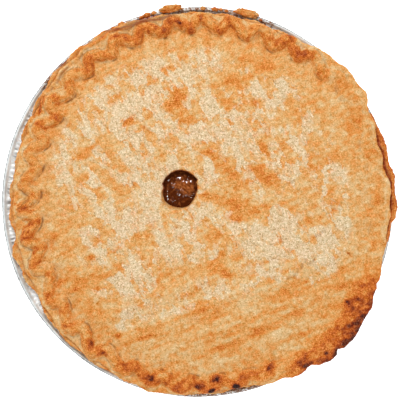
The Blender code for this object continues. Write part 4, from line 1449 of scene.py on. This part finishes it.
@dataclass
class Filling:
    """Sliced apple in dark syrup: it fills the pie, and shows sunk and lumpy in the vent."""

    shape: PieShape
    base: BaseCrust
    finish: FillingFinish = FillingFinish()
    grain: Grain = Grain(37)
    count: int = 288

    def apple(self, x: Values, y: Values) -> Values:
        """Returns where the apple slice in the vent is, from 0 in the syrup to 1 on its face."""
        vx, vy = self.shape.vent
        along, across = turned(x - vx - 3.2, y - vy - 1.6, -28)
        wavy = 0.14 * self.grain.rough(x, y, 1.0, 4.0, 2)
        return smooth((1.35 - np.hypot(along / 7.6, across / 5.4) + 3.0 * wavy) / 0.95)

    def height(self, x: Values, y: Values) -> Values:
        """Returns the height of the filling's upper face."""
        vx, vy = self.shape.vent
        away = np.hypot(x - vx, y - vy)
        sink = self.shape.filling_sink * (1 - smooth((away - self.shape.vent_radius) / self.shape.vent_radius))
        near = 1 - smooth((away - 9.5) / 3.5)
        height = self.shape.dome(x, y) - self.shape.lid_thick - GAP - sink
        face = self.apple(x, y)
        fibres = 0.22 * self.grain.lumps((x + y) / 4.5, (y - x) * 0.8, 2.0, 1.5)
        bubbles = self.grain.drops(x, y, 3.0, 0.85, 2.5) + self.grain.drops(x + 4, y + 1, 1.9, 0.6, 1.6)
        shallow = 0.30 * self.grain.rough(x, y, 0.0, 5.5, 2)
        lid_under = height + sink
        height = height + 1.6 * (1 - smooth((away - 11.2) / 2.6))
        height = height + near * (0.9 * face + 0.5 * fibres * face + blend(1.0, 0.5, face) * (bubbles + shallow))
        return np.where(away > 9.4, np.minimum(height, lid_under), height)

    def build(self) -> bpy.types.Object:
        """Returns the filling."""
        draft, shape, base = MeshDraft("apple_and_syrup"), self.shape, self.base
        rings = [polar(radius, around(self.count), 0.0, shape.vent) for radius in np.arange(0.35, 15.0, 0.28)]
        for radii, divided in (((17.0, 20.0, 24.0), 2), ((32.0, 41.0, 53.0, 65.0, 77.0, 88.0, 97.0), 4)):
            for radius in radii:
                centre = np.array(shape.vent) * shape.towards_vent(radius)
                rings.append(polar(radius, around(self.count // divided), 0.0, centre))
        for ring in rings:
            ring[:, 2] = self.height(ring[:, 0], ring[:, 1])
        few = around(self.count // 4)
        foot = base.foot_chamfer + 2 * base.foil
        mouth = shape.flange_z - base.thickness / 2
        floor = base.foil + 2 * GAP + base.thickness
        side = base.thickness + GAP
        rings.append(polar(base.wall(mouth) - side, few, mouth + 2))
        rings.append(polar(base.wall(foot) - side - GAP, few, floor + base.foot_chamfer))
        rings.append(polar(base.wall(foot) - base.foot_chamfer - base.foil - side, few, floor))
        made = draft.loft(rings)
        vx, vy = shape.vent
        draft.cap(made[0], (vx, vy, float(self.height(np.array([vx]), np.array([vy]))[0])), True)
        draft.cap(made[-1], (0, 0, floor))
        points = draft.all_points()
        apple = self.apple(points[:, 0], points[:, 1])
        return draft.build(self.finish.make(), {Mask.BAKE: apple}, turn_over=True)


# The tin.


@dataclass
class FoilTin:
    """The foil tin: its rim and wall are pleated unevenly, and its edge is rolled into a bead."""

    finish: FoilFinish = FoilFinish()
    grain: Grain = Grain(41)
    pleats: int = 264
    steps: int = 8
    radius: float = 122.5
    flange_z: float = 29.3
    bead: float = 1.25
    foil: float = 0.5
    foot_radius: float = 95.0
    mouth_radius: float = 110.0
    foot_chamfer: float = 1.6

    def bulge(self, azimuth: Values) -> Values:
        """Returns how far the tin's rim is bent out of round at the left."""
        return 0.7 * hump((azimuth % 360 - 181) / 34)

    def turn_of_pleat(self, azimuth: Values) -> Values:
        """Returns each azimuth's place in its pleat, with pleats a little wider and narrower in turn."""
        angle = np.radians(azimuth)
        drift = 0.35 * np.sin(11 * angle + 1.3) + 0.3 * np.sin(29 * angle) + 0.25 * np.sin(47 * angle + 0.7)
        return azimuth / 360 * self.pleats + drift

    def pleated(self, radius: float, height: float, swing: float, outside: float = 1.0) -> Values:
        """A pleated ring of the wall or the flange.

        Args:
            radius, height: where it would be if it were plain.
            swing: how deep the pleats are there.
            outside: how much of the swing moves it outwards; the rest lifts it.

        Returns:
            Its points.
        """
        azimuth = around(self.pleats * self.steps)
        radius = radius + self.bulge(azimuth) * smooth((radius - 112.0) / 8)
        turn = self.turn_of_pleat(azimuth)
        fold = np.sin(2 * np.pi * turn)
        fold = np.sign(fold) * np.abs(fold) ** 0.7
        draw = np.random.default_rng(7).uniform(0.45, 1.15, self.pleats + 8)
        deep = fold * draw[np.floor(turn).astype(int) % (self.pleats + 8)]
        return polar(radius + swing * deep * outside, azimuth, height + swing * deep * (1 - outside))

    def build(self) -> bpy.types.Object:
        """Returns the tin."""
        draft = MeshDraft("pleated_tin")
        bead_radius, bead_z = self.radius - self.bead, self.flange_z - 0.1
        edge = bead_radius - self.bead * 1.02
        rings = [
            self.pleated(self.foot_radius - self.foot_chamfer, 0.0, 0.0),
            self.pleated(self.foot_radius - 0.35, 0.35, 0.1),
            self.pleated(self.foot_radius, self.foot_chamfer, 0.4),
            self.pleated(99.0, 9.0, 0.5),
            self.pleated(106.0, 21.6, 0.5),
            self.pleated(self.mouth_radius - 0.4, self.flange_z - 1.4, 0.5),
            self.pleated(self.mouth_radius + 0.6, self.flange_z - self.foil, 0.35, 0.2),
            self.pleated(115.0, self.flange_z - self.foil, 0.4, 0.0),
            self.pleated(edge, self.flange_z - self.foil, 0.12, 0.0),
        ]
        spots = polar(self.radius, around(self.pleats * self.steps), 0.0)
        dents = self.grain.rough(spots[:, 0], spots[:, 1], 0.0, 14.0, 3)
        for turn in np.linspace(-150, 165, 14):
            angle = math.radians(turn)
            out, up = self.bead * math.cos(angle), self.bead * math.sin(angle)
            ring = self.pleated(bead_radius + out, bead_z + up, 0.05)
            ring[:, 2] += 0.12 * dents
            ring[:, :2] *= (1 + 0.0012 * dents)[:, None]
            rings.append(ring)
        rings += [
            self.pleated(edge - 0.05, self.flange_z, 0.12, 0.0),
            self.pleated(118.6, self.flange_z - 0.05, 0.26, 0.0),
            self.pleated(116.6, self.flange_z, 0.30, 0.0),
            self.pleated(114.0, self.flange_z, 0.4, 0.0),
            self.pleated(self.mouth_radius - 0.2, self.flange_z - 0.2, 0.25, 0.2),
            self.pleated(self.mouth_radius - 1.4, self.flange_z - 1.8, 0.3),
            self.pleated(self.foot_radius - 0.7, self.foot_chamfer + 0.4, 0.3),
            self.pleated(self.foot_radius - self.foot_chamfer - 0.4, self.foil, 0.0),
        ]
        made = draft.loft(rings)
        draft.cap(made[0], (0, 0, 0), True)
        draft.cap(made[-1], (0, 0, self.foil))
        return draft.build(self.finish.make(), self.masks(draft.all_points(), edge))

    def masks(self, points: Values, edge: float) -> dict[Mask, Values]:
        """Where shade and dark reflections are painted on the foil.

        Args:
            points: all its points.
            edge: the radius where the flange meets the bead.

        Returns:
            The painted dark lines on the bead, painted shade on the pleats and the wall, and painted shadow in
            the openings by the crust, all as one shade mask, and where syrup spots it.
        """
        x, y, z = points.T
        radius, azimuth = to_polar(x, y)
        radius = radius - self.bulge(azimuth)
        upper = z > 28
        # Painted shade: a dark line along the bead's outer edge.
        outer = smooth((radius - self.radius + 0.80) / 0.2) * smooth((z - 27) / 1.5)
        patchy = np.clip(0.6 + 0.9 * self.grain.rough(x, y, 3.0, 9.0, 3), 0.1, 1)
        # Painted dark reflection: a line along the bead's top, with painted shade where the bead meets the
        # flange.
        bead_line_shade = np.maximum(hump((radius - 120.7) / 0.40), 0.5 * hump((radius - edge - 0.1) / 0.5))
        bead_line_shade = bead_line_shade * patchy * upper
        # Painted shade in the pleats' folds on the flange.
        pleat_shade_ticks = smooth((self.grain.lumps(azimuth * 2.05, radius * 0.45, 5.0, 1.5) - 0.16) / 0.22)
        pleat_shade_ticks = pleat_shade_ticks * smooth((radius - 112) / 2) * smooth((119.9 - radius) / 0.6) * upper
        # Painted shadow in the narrow dark openings between the foil and the crust at the top.
        slit_shadow = hump((radius - 119.4) / 0.42) * between(azimuth, 62.5, 72.5, 1, 1)
        gap_shadow = hump((radius - 119.8) / 0.48) * between(azimuth, 79, 99, 2, 3)
        gap_shadow = (slit_shadow + gap_shadow * clipped(0.4 + patchy * 0.8)) * upper
        # Painted shade on the tin's wall, darker in the pleats' valleys.
        valley = 0.5 - 0.5 * np.sin(2 * np.pi * self.turn_of_pleat(azimuth))
        below = smooth((28.2 - z) / 1.2)
        crease = 0.85 * outer * blend(0.5, 1.0, patchy) + 0.40 * bead_line_shade + 0.7 * pleat_shade_ticks + 0.85 * gap_shadow
        crease = clipped(crease + below * (0.34 + 0.40 * valley))
        top, low = between(azimuth, 62, 150, 8, 8), between(azimuth, 255, 300, 10, 10)
        syrup = clipped(0.9 * top + 0.8 * low + 0.25) * (z > 27)
        return {Mask.CREASE: crease, Mask.SYRUP: syrup}


# The overflow, syrup and crumbs.


@dataclass
class Overflow:
    """What boiled over and broke off: two flakes and small crumbs on the bead, and syrup in the cracks."""

    shape: PieShape
    finish: PastryFinish = PastryFinish("baked_overflow", bump=0.8, roughness=0.6)
    syrup: SyrupFinish = SyrupFinish()
    grain: Grain = Grain(53)
    bead_top: float = 30.45

    def lump(self, name: str, size: Sequence[float], place: Sequence[float], turn: float, seed: float) -> Any:
        """A craggy lump.

        Args:
            name: its name.
            size: half its length, width and height.
            place: where its underside rests.
            turn: its turn in degrees.
            seed: shifts its crags.

        Returns:
            Its points and faces as a mesh draft.
        """
        draft = MeshDraft(name)
        rings = []
        levels, count = 20, 40
        for step in range(1, levels):
            tilt = math.pi * step / levels
            angle = np.radians(around(count))
            x, y = math.sin(tilt) * np.cos(angle), math.sin(tilt) * np.sin(angle)
            z = np.full(count, math.cos(tilt))
            swell = 1 + 0.42 * self.grain.rough(x * 3 + seed, y * 3, z * 3, 1.6, 3)
            rough = 1 + 0.20 * self.grain.rough(x * 9 + seed, y * 9, z * 9, 2.4, 2)
            rings.append(np.stack([x * swell * rough, y * swell * rough, np.maximum(z * swell, -0.7)], axis=1))
        made = draft.loft(rings)
        draft.cap(made[0], (0, 0, 1.0), True)
        draft.cap(made[-1], (0, 0, -0.7))
        points = draft.all_points() * np.array(size)
        points[:, 2] += 0.7 * size[2] + place[2]
        x, y = turned(points[:, 0], points[:, 1], -turn)
        draft.points = [np.stack([x + place[0], y + place[1], points[:, 2]], axis=1)]
        return draft

    def dress(self, draft: MeshDraft, bake: float, finish: bpy.types.Material) -> bpy.types.Object:
        """Returns a lump as an object, browned by how high each point is."""
        x, y, z = draft.all_points().T
        shade = bake + 0.10 * self.grain.rough(x, y, z, 2.5, 3)
        none = np.zeros(len(x))
        masks = {Mask.BAKE: shade, Mask.FLOUR: none, Mask.CREASE: none, Mask.SYRUP: none}
        return draft.build(finish, masks, True)

    def flakes(self, finish: bpy.types.Material) -> dict[str, bpy.types.Object]:
        """Returns the two flakes by the name of the node each stands for."""
        made = {}
        rows = (
            ("overflow_flake_left", 98.3, 122.6, (7.0, 2.1, 1.35), 11.0),
            ("overflow_flake_right", 75.4, 122.5, (7.3, 2.3, 1.45), 4.0),
        )
        for node, azimuth, radius, size, seed in rows:
            x, y, _ = polar(radius, np.array([azimuth]), 0.0)[0]
            draft = self.lump(node + "_baked", size, (x, y, self.bead_top + 0.2), azimuth + 90, seed)
            made[node] = self.dress(draft, 0.38, finish)
        return made

    def crumbs(self, finish: bpy.types.Material) -> list[bpy.types.Object]:
        """Returns small crumbs that lie on the bead."""
        rows = (
            (105.3, 121.6, 2.4, 0.42), (107, 121.2, 1.5, 0.50), (103.2, 122, 1.6, 0.45),
            (88.6, 121.8, 1.6, 0.40), (85, 121.6, 1.9, 0.46), (83.2, 121.8, 1.4, 0.38),
            (81.5, 121.3, 1.2, 0.50), (113.5, 121.6, 2.2, 0.44), (116, 121.4, 1.4, 0.46),
            (127.5, 121.8, 1.7, 0.40), (71, 121, 1, 0.46),
        )
        made = []
        for number, (azimuth, radius, size, bake) in enumerate(rows):
            x, y, _ = polar(radius, np.array([azimuth]), 0.0)[0]
            draft = self.lump(
                f"bead_crumb_{number + 1}",
                (size, size * 0.62, size * 0.45),
                (x, y, self.bead_top - 0.25),
                azimuth + 90,
                number * 3.7,
            )
            made.append(self.dress(draft, bake, finish))
        return made

    def strip(
        self, name: str, azimuths: tuple[float, float], radius: Values, height: Values, size: Values
    ) -> Any:
        """A bead of syrup that runs along the rim.

        Args:
            name: its name.
            azimuths: where it starts and ends.
            radius, height, size: its middle and half width along it.

        Returns:
            The object.
        """
        draft = MeshDraft(name)
        along = np.linspace(*azimuths, len(radius))
        rings = []
        for turn in around(12):
            angle = math.radians(turn)
            points = polar(radius + size * math.cos(angle), along, height + 0.6 * size * math.sin(angle))
            x, y, z = points.T
            points[:, 2] += 0.22 * self.grain.rough(x, y, z, 2.2, 2) * np.minimum(size, 1)
            rings.append(points)
        made = [draft.add_points(ring) for ring in rings]
        for first, second in zip(made, made[1:] + made[:1]):
            draft.faces.append(np.stack([first[:-1], first[1:], second[1:], second[:-1]], axis=1))
        for end in (0, -1):
            ring = np.array([numbers[end] for numbers in made])
            x, y = turned(radius[end], 0.0, -along[end])
            draft.cap(ring, (x, y, height[end]), end == -1)
        return draft.build(self.syrup.make(), {})

    def syrup_runs(self) -> list[bpy.types.Object]:
        """Returns the syrup between lid and base at the right, and along the tin at the upper left."""
        runs = []
        steps = np.linspace(-4.0, 22.0, 170)
        taper = smooth((steps + 4) / 4) * smooth((22 - steps) / 4)
        uneven = 0.5 + 0.5 * self.grain.lumps(steps * 2.1, steps * 0.0, 0.0, 4.0)
        radius = self.shape.lid_edge(steps) + 0.75
        size = (0.35 + 0.75 * uneven) * taper + 0.08
        height = self.shape.rim_bottom(radius) - GAP + 0.25 * np.ones(len(steps))
        runs.append(self.strip("syrup_in_right_crack", (-4.0, 22.0), radius, height, size))
        for name, low, high, reach in (
            ("syrup_by_tin_upper", 100.5, 122.0, 119.6),
            ("syrup_by_tin_left", 127.0, 137.5, 120.9),
        ):
            steps = np.linspace(low, high, 120)
            taper = smooth((steps - low) / 3) * smooth((high - steps) / 3)
            uneven = 0.5 + 0.5 * self.grain.lumps(steps * 2.7, steps * 0.0, 2.0, 4.0)
            radius = np.full(len(steps), reach) - 0.3 * uneven
            size = (0.35 + 0.8 * uneven) * taper + 0.08
            runs.append(self.strip(name, (low, high), radius, np.full(len(steps), 30.9), size))
        return runs


# The table, light and camera.


@dataclass
class Studio:
    """The lit table, soft light from all round, a key from the far side, and the camera straight above."""

    scale: float = 0.6266
    pixels: int = 400
    rim_height: float = 37.0
    distance: float = 2600.0
    centre: tuple[float, float] = (1.25, 1.25)
    sky: float = 0.545
    zenith: float = 0.01
    key: float = 18.2
    fill: float = 10.7
    spark: float = 3.5

    def build(self) -> None:
        """Makes the table, the lights and the camera."""
        bpy.ops.mesh.primitive_plane_add(size=9.0, location=(0, 0, 0))
        table = bpy.context.object
        table.name = "table"
        table.data.materials.append(TableFinish().make())
        world = bpy.data.worlds.new("soft_room")
        world.use_nodes = True
        board = Board(world.node_tree)
        way = board.add("ShaderNodeTexCoord").outputs["Generated"]
        up = board.add("ShaderNodeSeparateXYZ", {0: way}).outputs[2]
        dim = board.step(up, 0.40, 0.70, self.sky, self.zenith)
        ground = world.node_tree.nodes["Background"]
        ground.inputs["Color"].default_value = (1.0, 1.0, 0.99, 1)
        world.node_tree.links.new(dim, ground.inputs["Strength"])
        bpy.context.scene.world = world
        rows = (
            ("key", 0.34, self.key, (-0.25, 1.10, 1.45)),
            ("spark", 0.16, self.spark, (0.30, -0.95, 1.55)),
            ("fill_near", 1.2, self.fill * 0.85, (0.3, -1.5, 1.3)),
            ("fill_right", 1.0, self.fill * 0.7, (1.5, 0.3, 1.4)),
            ("fill_left", 1.0, self.fill * 0.7, (-1.6, 0.0, 1.4)),
        )
        for name, size, power, place in rows:
            light = bpy.data.lights.new(name, "AREA")
            light.shape = "SQUARE"
            light.size = size
            light.energy = power
            lamp = bpy.data.objects.new(name, light)
            lamp.location = place
            lamp.rotation_euler = (-Vector(place)).to_track_quat("-Z", "Y").to_euler()
            bpy.context.scene.collection.objects.link(lamp)
        camera = bpy.data.cameras.new("camera")
        camera.sensor_width = 36.0
        camera.lens = camera.sensor_width * self.distance / (self.scale * self.pixels)
        camera.clip_end = 20.0
        held = bpy.data.objects.new("camera", camera)
        held.location = (self.centre[0] * MM, self.centre[1] * MM, (self.distance + self.rim_height) * MM)
        bpy.context.scene.collection.objects.link(held)
        bpy.context.scene.camera = held
        bpy.context.scene.view_settings.view_transform = "Standard"


def stand_for(piece: bpy.types.Object, node: str, slot: Slot) -> None:
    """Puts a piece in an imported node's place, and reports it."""
    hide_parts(node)
    LOG.info("%s stands for %s with %d faces", piece.name, node, len(piece.data.polygons))


def main() -> None:
    """Builds the pie from the tin up, then its table, lights and camera."""
    logging.basicConfig(level=logging.INFO, format="%(name)s: %(message)s")
    shape = PieShape()
    base = BaseCrust(shape)
    stand_for(FoilTin().build(), "foil_tin", Slot.FOIL)
    stand_for(base.build(), "base_crust", Slot.BASE)
    stand_for(Filling(shape, base).build(), "apple_filling", Slot.FILLING)
    stand_for(Lid(shape).build(), "top_crust", Slot.LID)
    overflow = Overflow(shape)
    crust = overflow.finish.make()
    for node, flake in overflow.flakes(crust).items():
        stand_for(flake, node, Slot.OVERFLOW)
    for crumb in overflow.crumbs(crust):
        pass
    for run in overflow.syrup_runs():
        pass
    Studio().build()


if __name__ == "__main__":
    main()
